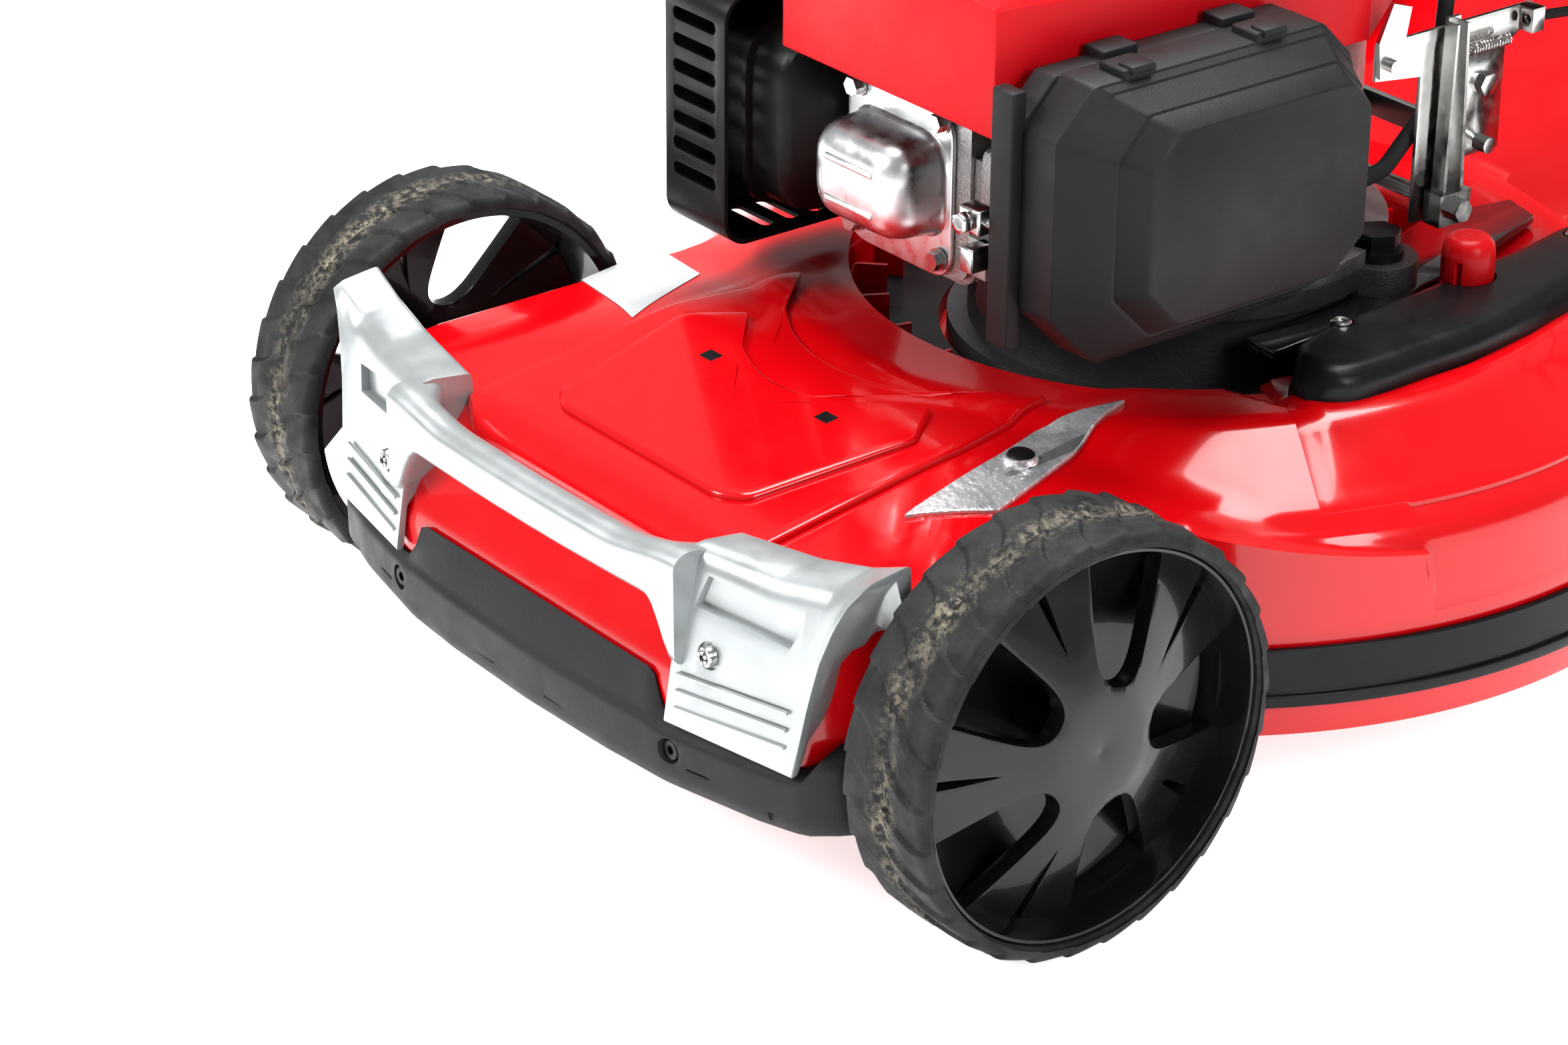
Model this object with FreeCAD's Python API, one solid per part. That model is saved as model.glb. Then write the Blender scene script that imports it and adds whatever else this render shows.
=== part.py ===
import FreeCAD, Part
import math
import os

# Petrol push lawn mower, 46 cm cut, millimetres, +Z up, front towards -Y.
# While modelling, y = 0 is the front axle; save() moves the parts so that the
# origin is the middle of the footprint, on the ground.

Vector = FreeCAD.Vector
X = Vector(1, 0, 0)
Y = Vector(0, 1, 0)
Z = Vector(0, 0, 1)

# Overall
front_reach = 120.0
rear_reach = 1370.0
wheelbase = 590.0
half_track = 260.0
tyre_width = 55.0
front_radius = 100.0
rear_radius = 120.0

# Height adjustment: cranked axles and the link between them
crank_arm = 40.0
rod_radius = 6.0
stub_radius = 6.0
link_x = 167.0
lever_length = 28.0

# Deck
shaft_y = 270.0
deck_radius = 258.0
lip_z = 45.0
sheet = 3.0
deck_top = 166.0
bowl_radius = 155.0
bowl_floor = 128.0
nose_front = -108.0
tail_y = 668.0
tail_half = 182.0
tail_top = 262.0
tunnel_half = 120.0
hinge_y = 675.5
hinge_z = 267.0

# Engine
crank_radius = 12.5
running_fit = 0.05
case_radius = 88.0
sump_top = 190.0
case_top = 305.0
head_z = 256.0

# Handle
tube_radius = 12.5
pivot_y = 612.0
pivot_z = 292.0
lower_x = 178.0
upper_x = 206.0
joint_distance = 420.0
handle_angle = math.radians(44.0)
bail_distance = 890.0

grip_radius = 17.0
grip_distance = (rear_reach - grip_radius - pivot_y) / math.cos(handle_angle)
rear_axle_y = wheelbase
front_rod_y = -crank_arm
rear_rod_y = rear_axle_y - crank_arm
shift_y = (rear_reach - front_reach) / 2.0


def save(name, shape):
    """Write one sub-part, moved to the part's own origin."""
    moved = shape.copy()
    moved.translate(Vector(0, -shift_y, 0))
    moved.exportStep("parts/" + name + ".step")


def box(x0, x1, y0, y1, z0, z1):
    return Part.makeBox(x1 - x0, y1 - y0, z1 - z0, Vector(x0, y0, z0))


def rod(x, y, z, radius, length, axis=Z):
    return Part.makeCylinder(radius, length, Vector(x, y, z), axis)


def tube(x, y, z, outer, inner, length, axis=Z):
    return rod(x, y, z, outer, length, axis).cut(rod(x, y, z, inner, length, axis))


def prism(points, direction):
    """Extrude the closed outline through the given points."""
    outline = Part.makePolygon([Vector(*p) for p in points + points[:1]])
    return Part.Face(outline).extrude(direction)


def plan(points, z0, z1):
    return prism([(x, y, z0) for x, y in points], Vector(0, 0, z1 - z0))


def side(points, x0, x1):
    return prism([(x0, y, z) for y, z in points], Vector(x1 - x0, 0, 0))


def front(points, y0, y1):
    return prism([(x, y0, z) for x, z in points], Vector(0, y1 - y0, 0))


def turned(profile):
    """Turn an (r, z) outline about the engine shaft."""
    outline = Part.makePolygon([Vector(r, shaft_y, z) for r, z in profile + profile[:1]])
    return Part.Face(outline).revolve(Vector(0, shaft_y, 0), Z, 360)


def mirror(shape):
    return shape.mirror(Vector(0, 0, 0), X)


def both(shape):
    return Part.makeCompound([shape, mirror(shape)])


def edges_along(shape, axis):
    """Straight edges parallel to the axis."""
    found = []
    for edge in shape.Edges:
        if edge.Curve.TypeId == "Part::GeomLine":
            if abs(abs(edge.tangentAt(edge.FirstParameter).dot(axis)) - 1) < 1e-6:
                found.append(edge)
    return found


def rounded(shape, radius, axis):
    return shape.makeFillet(radius, edges_along(shape, axis))


def fuse(*shapes):
    return shapes[0].multiFuse(list(shapes[1:])).removeSplitter()


def handle_point(x, distance, lift=0.0):
    """A point along the handle, lifted off its centre line towards the front."""
    return Vector(x,
                  pivot_y + distance * math.cos(handle_angle) - lift * math.sin(handle_angle),
                  pivot_z + distance * math.sin(handle_angle) + lift * math.cos(handle_angle))


def path(points, bend):
    """Straight runs joined by tangent arcs."""
    edges = []
    start = points[0]
    for i in range(1, len(points) - 1):
        corner = points[i]
        back = (points[i - 1] - corner).normalize()
        ahead = (points[i + 1] - corner).normalize()
        half = back.getAngle(ahead) / 2.0
        trim = bend / math.tan(half)
        enter = corner + back * trim
        leave = corner + ahead * trim
        inward = (back + ahead).normalize()
        middle = corner + inward * (bend / math.sin(half) - bend)
        edges.append(Part.LineSegment(start, enter).toShape())
        edges.append(Part.Arc(enter, middle, leave).toShape())
        start = leave
    edges.append(Part.LineSegment(start, points[-1]).toShape())
    return Part.Wire(edges)


def bent_tube(points, radius, bend, inner=0.0):
    route = path(points, bend)
    along = (points[1] - points[0]).normalize()

    def sweep(size):
        ring = Part.Wire([Part.makeCircle(size, points[0], along)])
        return route.makePipeShell([ring], True, False)

    solid = sweep(radius)
    if inner > 0:
        solid = solid.cut(sweep(inner))
    return solid


def hexagon(centre, width, height, axis=Z):
    """A hexagonal bolt head, width measured across its flats."""
    reach = width / math.sqrt(3)
    side_way = X if abs(axis.dot(X)) < 0.9 else Y
    up_way = axis.cross(side_way).normalize()
    corners = []
    for i in range(7):
        turn = math.radians(60 * i)
        corners.append(centre + side_way * reach * math.cos(turn) + up_way * reach * math.sin(turn))
    return Part.Face(Part.makePolygon(corners)).extrude(axis * height)


# ---------------------------------------------------------------- deck

nose_plan = [(-150, -108), (150, -108), (176, -92), (186, -38), (188, 55), (196, 120),
             (186, 210), (-186, 210), (-196, 120), (-188, 55), (-186, -38), (-176, -92)]
nose_side = [(-108, 58), (210, 58), (210, deck_top), (44, deck_top), (-72, 150), (-108, 106)]
nose_front_view = [(-200, 58), (200, 58), (200, 138), (188, 150), (112, deck_top),
                   (-112, deck_top), (-188, 150), (-200, 138)]
drum = [(0, lip_z), (deck_radius, lip_z), (deck_radius, 128), (240, 138), (196, deck_top),
        (0, deck_top)]
drum_inside = [(0, lip_z - 1), (deck_radius - sheet, lip_z - 1), (deck_radius - sheet, 126),
               (238, 135), (195, deck_top - sheet), (bowl_radius + sheet, deck_top - sheet),
               (bowl_radius + sheet, bowl_floor - sheet), (0, bowl_floor - sheet)]
tail_side = [(345, 62), (tail_y, 62), (tail_y, tail_top), (600, tail_top), (470, deck_top),
             (345, deck_top)]


def shrunk(points, amount):
    """Pull an outline in towards its middle by about the sheet thickness."""
    middle_a = (min(p[0] for p in points) + max(p[0] for p in points)) / 2.0
    middle_b = (min(p[1] for p in points) + max(p[1] for p in points)) / 2.0
    result = []
    for a, b in points:
        step_a = math.copysign(min(amount, abs(a - middle_a)), a - middle_a)
        step_b = math.copysign(min(amount, abs(b - middle_b)), b - middle_b)
        result.append((a - step_a, b - step_b))
    return result


def deck_shell():
    nose = plan(nose_plan, 58, deck_top).common(side(nose_side, -200, 200))
    nose = nose.common(front(nose_front_view, -108, 210))
    tail = side(tail_side, -tail_half, tail_half)
    outer = fuse(turned(drum), nose, tail)

    nose_in = plan(shrunk(nose_plan, sheet), 40, deck_top - sheet)
    nose_in = nose_in.common(side([(-104, 40), (210, 40), (210, deck_top - sheet),
                                   (44, deck_top - sheet), (-70, 147), (-104, 105)], -200, 200))
    nose_in = nose_in.common(front([(-197, 40), (197, 40), (197, 136), (187, 147),
                                    (111, deck_top - sheet), (-111, deck_top - sheet),
                                    (-187, 147), (-197, 136)], -108, 210))
    bowl = rod(0, shaft_y, bowl_floor - sheet, bowl_radius + sheet, 60)
    hollow = turned(drum_inside).fuse(nose_in.cut(bowl))
    bay = side([(380, 40), (tail_y + 1, 40), (tail_y + 1, 149), (500, 134.5), (500, 161),
                (380, 161)], -tail_half + sheet, tail_half - sheet).cut(bowl)
    pockets = box(tunnel_half + sheet, tail_half - sheet, 380, tail_y - sheet, 100, 259)
    pockets = pockets.common(side([(380, 60), (665, 60), (665, 258), (602, 258), (472, 163),
                                   (380, 163)], 100, 200)).cut(bowl)
    tunnel = side([(425, 131), (tail_y + 1, 152), (tail_y + 1, 259), (602, 259), (472, 163),
                   (425, 163)], -tunnel_half, tunnel_half).cut(bowl)
    shell = outer.cut(hollow).cut(bay).cut(pockets).cut(mirror(pockets)).cut(tunnel)

    seat = rod(0, shaft_y, bowl_floor, bowl_radius, 60)
    shaft_hole = rod(0, shaft_y, bowl_floor - 10, 32, 20)
    shell = shell.cut(seat).cut(shaft_hole)

    # Chamber wall behind the nose and behind the drum, low enough for the link to pass.
    baffle = tube(0, shaft_y, lip_z, deck_radius, deck_radius - sheet, 68)
    baffle = baffle.common(fuse(box(-194, 194, 0, 110, 0, 200), box(-182, 182, 380, 540, 0, 200)))
    shell = shell.fuse(baffle).removeSplitter()

    for y, z in ((front_rod_y, front_radius), (rear_rod_y, rear_radius)):
        shell = shell.cut(rod(-200, y, z, 11, 400, X))
    for x in (-1, 1):
        start = 134 if x > 0 else -142
        lug = side([(664, 250), (667.9, 250), (684, 268), (682, 274), (664, 274)], start, start + 8)
        shell = shell.fuse(lug)
        shell = shell.cut(rod(start - 1, hinge_y, hinge_z, 3, 10, X))
    for angle in (30, 150, 270):
        turn = math.radians(angle)
        shell = shell.cut(rod(85 * math.cos(turn), shaft_y + 85 * math.sin(turn),
                              bowl_floor - 10, 4.5, 20))
    return shell


def bumper():
    outline = [(-192, -88), (-176, -98), (-90, -116), (0, -120), (90, -116), (176, -98),
               (192, -88), (188, -72), (168, -80), (-168, -80), (-188, -72)]
    body = plan(outline, 50, 81.5)
    ledge = [(-98, -113), (-50, -116.5), (50, -116.5), (98, -113), (94, -100), (-94, -100)]
    body = body.fuse(plan(ledge, 81, 103))
    inside = plan([(-168, -92), (-88, -109.5), (0, -112.5), (88, -109.5), (168, -92),
                   (166, -70), (-166, -70)], 40, 78)
    body = body.cut(inside)
    body = body.cut(plan(nose_plan, 40, 140).common(side(nose_side, -200, 200)))
    for s in (-1, 1):
        body = body.cut(rod(s * 105, -125, 70, 7.5, 13.5, Y))
        body = body.cut(rod(s * 105, -125, 70, 4.5, 30, Y))
        body = body.cut(box(s * 168 - 9, s * 168 + 9, -125, -85, 55, 60))
    return body.removeSplitter()


def front_handle():
    """Two bracket plates on the nose joined by an arched bar."""
    plate = front([(100, 84), (176, 82), (184, 150), (196, 172), (190, 176), (112, 168),
                   (104, 150)], -118, -40)
    skin = side([(-116, 80), (-110.5, 80), (-110.5, 106), (-73, 151.5), (-40, 156), (-40, 178),
                 (-84, 172), (-103, 158)], 90, 200)
    plate = plate.common(skin)
    plate = plate.cut(box(112, 165, -120, -92, 142, 156).common(
        side([(-120, 140), (-94, 144), (-94, 158), (-120, 158)], 100, 180)))
    plate = plate.cut(rod(123.5, -130, 121.8, 5, 17, Y))
    plate = plate.cut(rod(123.5, -130, 121.8, 2.6, 60, Y))
    bar_points = [(-115, -110), (-60, -114), (0, -116), (60, -114), (115, -110),
                  (112, -94), (58, -97), (0, -99), (-58, -97), (-112, -94)]
    bar = plan(bar_points, 139, 161)
    return fuse(plate, mirror(plate), bar)


def torx_screw(centre, direction, length):
    head = Part.makeCylinder(4.2, 3, centre, direction)
    shank = Part.makeCylinder(2.5, length, centre + direction * 3, direction)
    socket = Part.makeCylinder(1.8, 2, centre, direction)
    return head.fuse(shank).cut(socket)


def torx_screws():
    screws = []
    for s in (-1, 1):
        screws.append(torx_screw(Vector(s * 123.5, -113, 121.8), Y, 12))
    for x, y in ((141, 247), (133, 411)):
        screws.append(torx_screw(Vector(x, y, 191), Z * -1, 20))
    return Part.makeCompound(screws)


def badge_plate():
    plate = plan([(-66, -62), (84, -62), (92, 44), (-70, 44)], deck_top - 20, deck_top + 8)
    return plate.common(side([(-62, 151.6), (44, deck_top + 0.3), (44, deck_top + 3),
                              (-62, 155)], -100, 100))


def lens_cover():
    """Clear cover let into the right shoulder beside the badge plate."""
    lens = plan([(129, -3), (149, 34), (136, 82), (122, 127), (115, 138), (113, 90), (122, 42)], 140, 175)
    skin = prism([(112, 0, deck_top + 0.3), (170, 0, 154.5), (170, 0, 157.2), (112, 0, deck_top + 3)],
                 Vector(0, 200, 0))
    lens = lens.common(skin)
    over_drum = turned(drum)
    over_drum.translate(Vector(0, 0, 0.3))
    return lens.cut(over_drum).cut(rod(124, 66, 140, 4, 40))


def edge_guards():
    """Black strips around both sides of the cutting chamber's rim."""
    band = tube(0, shaft_y, 62, deck_radius + 3.5, deck_radius + 0.3, 28)
    lower = tube(0, shaft_y, 62, deck_radius + 6, deck_radius + 0.3, 6)
    ring = band.fuse(lower)
    keep = plan([(202, 120), (270, 120), (270, 420), (202, 420)], 60, 95)
    return both(ring.common(keep))


def carry_grip():
    """Curved grip on the right shoulder, held by two screws."""
    outer = [(150, 196), (178, 206), (186, 236), (187, 285), (180, 335), (164, 390), (146, 448)]
    inner = [(112, 448), (122, 400), (130, 350), (132, 300), (128, 250), (120, 214)]
    body = plan(outer + inner, deck_top + 0.3, 191)
    well = plan([(134, 262), (168, 262), (166, 320), (160, 372), (136, 376), (138, 320)],
                deck_top, 186)
    body = body.cut(well).cut(rod(139, 331, deck_top, 12.5, 30))
    for x, y in ((141, 247), (133, 411)):
        body = body.cut(rod(x, y, 160, 2.6, 40)).cut(rod(x, y, 188, 4.5, 10))
    return body


def height_button():
    button = rod(139, 331, 180, 12, 35)
    return button.makeFillet(4, [e for e in button.Edges if e.BoundBox.ZMin > 214])


def axle_bushes():
    """Plastic bushes in the deck walls for both cross rods."""
    bushes = []
    for y, z, x in ((front_rod_y, front_radius, 180.0), (rear_rod_y, rear_radius, 176.0)):
        for s in (-1, 1):
            start = s * x if s > 0 else s * x - 10
            bushes.append(tube(start, y, z, 10.95, rod_radius + running_fit, 10, X))
    return Part.makeCompound(bushes)


def cranked_axle(rod_y, axle_y, z, arm_x):
    """A cross rod with an arm and a wheel stub at each end, and a lever for the link."""
    shape = rod(-arm_x, rod_y, z, rod_radius, 2 * arm_x, X)
    for s in (-1, 1):
        x0 = s * arm_x - 4
        arm = fuse(rod(x0, rod_y, z, 11, 8, X), rod(x0, axle_y, z, 11, 8, X),
                   box(x0, x0 + 8, rod_y, axle_y, z - 8, z + 8))
        start = arm_x if s > 0 else -half_track + 6
        stub = rod(start, axle_y, z, stub_radius, half_track - 6 - arm_x, X)
        shape = fuse(shape, arm, stub)
    lever = fuse(rod(link_x - 12, rod_y, z, 10, 6, X), rod(link_x - 12, rod_y, z + lever_length, 8, 6, X),
                 box(link_x - 12, link_x - 6, rod_y - 6, rod_y + 6, z, z + lever_length))
    pin = rod(link_x - 12, rod_y, z + lever_length, 4, 17, X)
    return fuse(shape, lever, pin)


def height_link():
    """Flat bar that keeps both cranked axles parallel; its rear eye is opened."""
    y0, z0 = front_rod_y, front_radius + lever_length
    y1, z1 = rear_rod_y, rear_radius + lever_length
    tilt = math.atan2(z1 - z0, y1 - y0)
    across = (-math.sin(tilt) * 5, math.cos(tilt) * 5)
    bar = side([(y0 - across[0], z0 - across[1]), (y1 - across[0], z1 - across[1]),
                (y1 + across[0], z1 + across[1]), (y0 + across[0], z0 + across[1])],
               link_x - 2, link_x + 2)
    bar = fuse(bar, rod(link_x - 2, y0, z0, 8, 4, X), rod(link_x - 2, y1, z1, 9, 4, X))
    bar = bar.cut(rod(link_x - 5, y0, z0, 4 + running_fit, 10, X))
    return bar.cut(rod(link_x - 5, y1, z1, 4.6, 10, X))


# ---------------------------------------------------------------- wheels

def wheel_rim(side_sign, y, z, radius):
    """Dished wheel with five spokes, hub bearing bore and a deep barrel."""
    inner_face = half_track - tyre_width
    lip = radius * 0.897
    barrel = tube(inner_face + 2, y, z, lip, lip - 5, tyre_width - 5, X)
    hub = rod(inner_face + 4, y, z, radius * 0.19, 44, X)
    parts = [barrel, hub]
    for i in range(5):
        turn = 90 + 72 * i
        spoke = plan([(-9, 10), (9, 10), (21, lip - 3), (-21, lip - 3)], 0, 7)
        spoke.rotate(Vector(0, 0, 0), Z, turn - 90)
        spoke.rotate(Vector(0, 0, 0), Y, 90)
        spoke.translate(Vector(half_track - 24, y, z))
        parts.append(spoke)
    rim = fuse(*parts)
    rim = rim.common(rod(inner_face + 2, y, z, lip, tyre_width - 5, X))
    rim = rim.cut(rod(inner_face, y, z, stub_radius + running_fit, 51, X))
    return rim if side_sign > 0 else mirror(rim)


def wheel_tyre(side_sign, y, z, radius):
    inner_face = half_track - tyre_width
    lip = radius * 0.897
    profile = [(inner_face, lip + 0.01), (half_track, lip + 0.01), (half_track, radius - 5),
               (half_track - 8, radius), (inner_face + 8, radius), (inner_face, radius - 5)]
    outline = Part.makePolygon([Vector(a, y, z + r) for a, r in profile + profile[:1]])
    tyre = Part.Face(outline).revolve(Vector(0, y, z), X, 360)
    return tyre if side_sign > 0 else mirror(tyre)


# ---------------------------------------------------------------- blade group

def crankshaft():
    shaft = rod(0, shaft_y, 84, crank_radius, 271)
    web = rod(0, shaft_y, 238, 34, 36)
    return shaft.fuse(web).removeSplitter()


def blade_hub():
    hub = fuse(rod(0, shaft_y, 66, 24, 34), rod(0, shaft_y, 62, 33, 6))
    return hub.cut(rod(0, shaft_y, 84, crank_radius + running_fit, 30)).cut(
        rod(0, shaft_y, 50, 5.2, 40))


def blade():
    half_length = 230.0
    flat = box(-half_length, half_length, shaft_y - 27, shaft_y + 27, 57, 61.7)
    for s in (-1, 1):
        flat = flat.cut(prism([(s * 120, shaft_y + s * 27, 50), (s * 231, shaft_y + s * 27, 50),
                               (s * 231, shaft_y + s * 12, 50)], Vector(0, 0, 20)))
    wings = []
    for s in (-1, 1):
        wing = front([(s * 150, 58), (s * 229, 58), (s * 229, 80), (s * 165, 61)],
                     shaft_y - s * 27, shaft_y - s * 23)
        wings.append(wing)
    bar = fuse(flat, *wings)
    disc = rod(0, shaft_y, 50, 230, 40)
    return bar.common(disc).cut(rod(0, shaft_y, 50, 5.2, 20))


def blade_bolt():
    washer = rod(0, shaft_y, 53, 20, 4)
    head = hexagon(Vector(0, shaft_y, 46), 17, 7)
    return fuse(washer, head, rod(0, shaft_y, 57, 5, 26.8))


def flywheel():
    disc = tube(0, shaft_y, 312, 84, crank_radius + running_fit, 14)
    parts = [disc]
    for i in range(18):
        fin = box(52, 82, -1.5, 1.5, 325, 341)
        fin.rotate(Vector(0, 0, 0), Z, 20 * i)
        fin.translate(Vector(0, shaft_y, 0))
        parts.append(fin)
    parts.append(tube(0, shaft_y, 325, 34, 30, 26))
    return fuse(*parts)


# ---------------------------------------------------------------- engine

def engine_ring():
    """Black base ring between the engine flange and the bowl."""
    return tube(0, shaft_y, bowl_floor, 150, 112, 9)


def sump():
    outer = fuse(rod(0, shaft_y, bowl_floor + 0.0, 108, 14), rod(0, shaft_y, 140, 98, 44),
                 rod(0, shaft_y, 180, 104, 10), rod(92, 318, 140, 20, 50))
    hollow = rod(0, shaft_y, 138, 88, 60)
    outer = outer.cut(hollow).cut(rod(92, 318, 149, 9, 50))
    outer = outer.cut(rod(0, shaft_y, 120, crank_radius + running_fit, 40))
    for angle in (30, 150, 270):
        turn = math.radians(angle)
        outer = outer.cut(rod(85 * math.cos(turn), shaft_y + 85 * math.sin(turn), 120, 4.2, 40))
    return outer


def crankcase():
    """Crankcase and finned cylinder in one casting."""
    case = fuse(rod(0, shaft_y, sump_top, case_radius, case_top - sump_top),
                rod(0, shaft_y, sump_top, 104, 8), rod(0, shaft_y, case_top - 1, 30, 6))
    barrel = rod(0, 130, head_z, 41, 80, Y)
    fins = []
    for i in range(8):
        y = 134 + 8.5 * i
        fin = box(-47, 47, y, y + 3, head_z - 44, head_z + 44)
        fins.append(rounded(fin, 12, Y))
    case = fuse(case, barrel, *fins)
    case = case.cut(rod(0, shaft_y, sump_top - 1, case_radius - 6, 50))
    case = case.cut(rod(0, shaft_y, sump_top + 40, case_radius - 10, 68))
    case = case.cut(rod(0, 120, head_z, 32, 150, Y))
    case = case.cut(rod(92, 318, 180, 15, 60))
    return case.cut(rod(0, shaft_y, 280, crank_radius + running_fit, 40))


def cylinder_head():
    block = rounded(box(-40, 47, 101, 129.5, 214, 298), 10, Y)
    fins = [rounded(box(-47, 47, 106 + 7 * i, 108.5 + 7 * i, 210, 301), 12, Y) for i in range(3)]
    head = fuse(block, *fins)
    head = head.cut(rod(0, 118, head_z, 32, 30, Y))
    head = head.cut(rod(-60, 116, 250, 11, 70, X)).cut(rod(5, 116, 262, 11, 60, X))
    return head


def valve_cover():
    flange = rounded(box(-36, 36, 98, 100.9, 217, 295), 9, Y)
    dome = rounded(box(-31, 31, 69, 99, 237, 284), 8, Y)
    dome = dome.makeFillet(6, [e for e in dome.Edges if e.BoundBox.YMax < 69.1])
    cover = flange.fuse(dome)
    inside = rounded(box(-28, 28, 72, 102, 240, 281), 6, Y)
    cover = cover.cut(inside)
    for x in (-30, 30):
        for z in (222.5, 289.5):
            cover = cover.cut(rod(x, 90, z, 3.2, 20, Y))
    return cover


def valve_cover_bolts():
    bolts = []
    for x in (-30, 30):
        for z in (222.5, 289.5):
            head = hexagon(Vector(x, 92.5, z), 8, 4, Y)
            flange = rod(x, 96.4, z, 5.6, 1.5, Y)
            bolts.append(fuse(head, flange, rod(x, 97, z, 3, 3.9, Y)))
    return Part.makeCompound(bolts)


def muffler():
    body = rounded(box(-130, -66, 84, 166, 212, 300), 16, X)
    body = body.fuse(rod(-72, 116, 250, 10, 24.9, X)).removeSplitter()
    body = body.cut(rounded(box(-128.5, -67.5, 85.5, 164.5, 213.5, 298.5), 14.5, X))
    return body.cut(rod(-80, 116, 250, 8, 40, X))


def muffler_guard():
    """Sheet guard, open towards the engine, with slots in its front and bottom."""
    guard = rounded(box(-136, -90, 66, 180, 195, 321), 14, X)
    guard = guard.cut(rounded(box(-133.8, -89, 68.2, 177.8, 197.2, 318.8), 11.8, X))
    for i in range(7):
        z = 222 + 13 * i
        guard = guard.cut(rounded(box(-130, -97, 60, 75, z, z + 6.5), 3, Y))
    for i in range(5):
        slot = rounded(box(-128, -98, 96 + 15 * i, 103 + 15 * i, 185, 205), 3, Z)
        guard = guard.cut(slot)
    return guard.fuse(box(-133.9, -130.3, 120, 140, 240, 260)).removeSplitter()


def carburettor():
    """Carburettor with its zinc choke lever block in front."""
    spacer = box(47.2, 57, 103, 129, 248, 276)
    body = rounded(box(56, 92, 100, 134, 244, 284), 5, X)
    bowl = rod(72, 117, 222, 17, 23)
    throat = rod(50, 116, 262, 9, 60, X)
    lever = fuse(box(78, 90, 74, 82, 238, 256), rod(84, 78, 250, 3, 30, Y))
    return fuse(spacer, body, bowl, lever).cut(throat)


def filter_outline(x, grow):
    """Eight-sided outline of the air filter box at a given depth."""
    y0, y1, z0, z1, cut = 74 - grow, 250 + grow, 206 - grow, 338 + grow, 34
    return [(x, y0 + cut, z0), (x, y1 - cut, z0), (x, y1, z0 + cut), (x, y1, z1 - cut * 0.5),
            (x, y1 - cut * 0.5, z1), (x, y0 + cut * 0.5, z1), (x, y0, z1 - cut * 0.5), (x, y0, z0 + cut)]


def filter_solid(x0, x1, grow0, grow1):
    lower = Part.makePolygon([Vector(*p) for p in filter_outline(x0, grow0) + filter_outline(x0, grow0)[:1]])
    upper = Part.makePolygon([Vector(*p) for p in filter_outline(x1, grow1) + filter_outline(x1, grow1)[:1]])
    return Part.makeLoft([lower, upper], True, True)


def air_filter_base():
    plate = filter_solid(98, 101, -1, -1)
    rim = filter_solid(101, 112, -1, -1).cut(filter_solid(100, 113, -5, -5))
    left_edge = box(98, 112, 68, 76, 214, 334)
    base = fuse(plate, rim, left_edge)
    tabs = [box(98, 112, y, y + 20, 336, 342) for y in (120, 190)]
    base = fuse(base, *tabs)
    return base.cut(rod(90, 116, 262, 9, 30, X))


def air_filter_element():
    frame_part = box(112.5, 136, 112, 218, 246, 312)
    return rounded(frame_part, 8, X)


def air_filter_cover():
    body = fuse(filter_solid(112.4, 132, 0, 0), filter_solid(132, 146, 0, -9),
                filter_solid(146, 164, -9, -22))
    hollow = filter_solid(112, 143, -3.5, -13)
    cover = body.cut(hollow)
    tabs = [box(112.4, 128, y, y + 20, 337, 342) for y in (120, 190)]
    return fuse(cover, *tabs)


def cowl_outline(grow):
    return [(-62 - grow, 78 - grow), (88 + grow, 78 - grow), (95 + grow, 110), (95 + grow, 300),
            (60 + grow * 0.7, 352 + grow * 0.7), (0, 368 + grow), (-60 - grow * 0.7, 352 + grow * 0.7),
            (-92 - grow, 300), (-92 - grow, 210), (-84 - grow, 182),
            (-80 - grow, 120)]


def engine_cowl():
    """Red fan cowl over the flywheel and the cylinder."""
    outer = plan(cowl_outline(0), 303, 372)
    outer = outer.makeChamfer(9, [e for e in outer.Edges if e.BoundBox.ZMin > 371])
    inner = plan(cowl_outline(-2.5), 302, 369.5)
    inner = inner.makeChamfer(9, [e for e in inner.Edges if e.BoundBox.ZMin > 369])
    cowl = outer.cut(inner)
    return cowl.cut(rod(0, shaft_y, 365, 58, 20))


def recoil_housing():
    outer = rod(0, shaft_y, 372.2, 84, 30)
    outer = outer.makeFillet(10, [e for e in outer.Edges if e.BoundBox.ZMin > 402])
    body = outer.cut(rod(0, shaft_y, 372, 80, 26))
    for i in range(12):
        slot = box(34, 66, -3, 3, 395, 410)
        slot.rotate(Vector(0, 0, 0), Z, 30 * i)
        slot.translate(Vector(0, shaft_y, 0))
        body = body.cut(slot)
    return body


def starter_grip():
    """T handle parked on the rope guide of the recoil housing."""
    bar = rod(-91, 353, 396, 8, 44, X)
    bar = bar.makeFillet(3, bar.Edges)
    stem = Part.makeCylinder(5, 16, Vector(-69, 347.6, 390.6), Vector(0, 1, 1))
    return bar.fuse(stem).removeSplitter()


def fuel_tank():
    tank = rounded(box(-36, 104, 378, 462, 312, 388), 18, Z)
    tank = tank.makeFillet(10, [e for e in tank.Edges if e.BoundBox.ZMin > 387 or e.BoundBox.ZMax < 313])
    tank = tank.fuse(rod(60, 420, 384, 20, 14))
    inside = rounded(box(-33, 101, 381, 459, 315, 385), 15, Z)
    inside = inside.fuse(rod(60, 420, 382, 17, 20))
    return tank.cut(inside)


def fuel_cap():
    cap = tube(60, 420, 390, 27, 20.4, 9).fuse(rod(60, 420, 398.3, 27, 9))
    grips = []
    for i in range(10):
        rib = rod(26.5, 0, 390, 2.5, 17)
        rib.rotate(Vector(0, 0, 0), Z, 36 * i)
        rib.translate(Vector(60, 420, 0))
        grips.append(rib)
    return fuse(cap, *grips)


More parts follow.
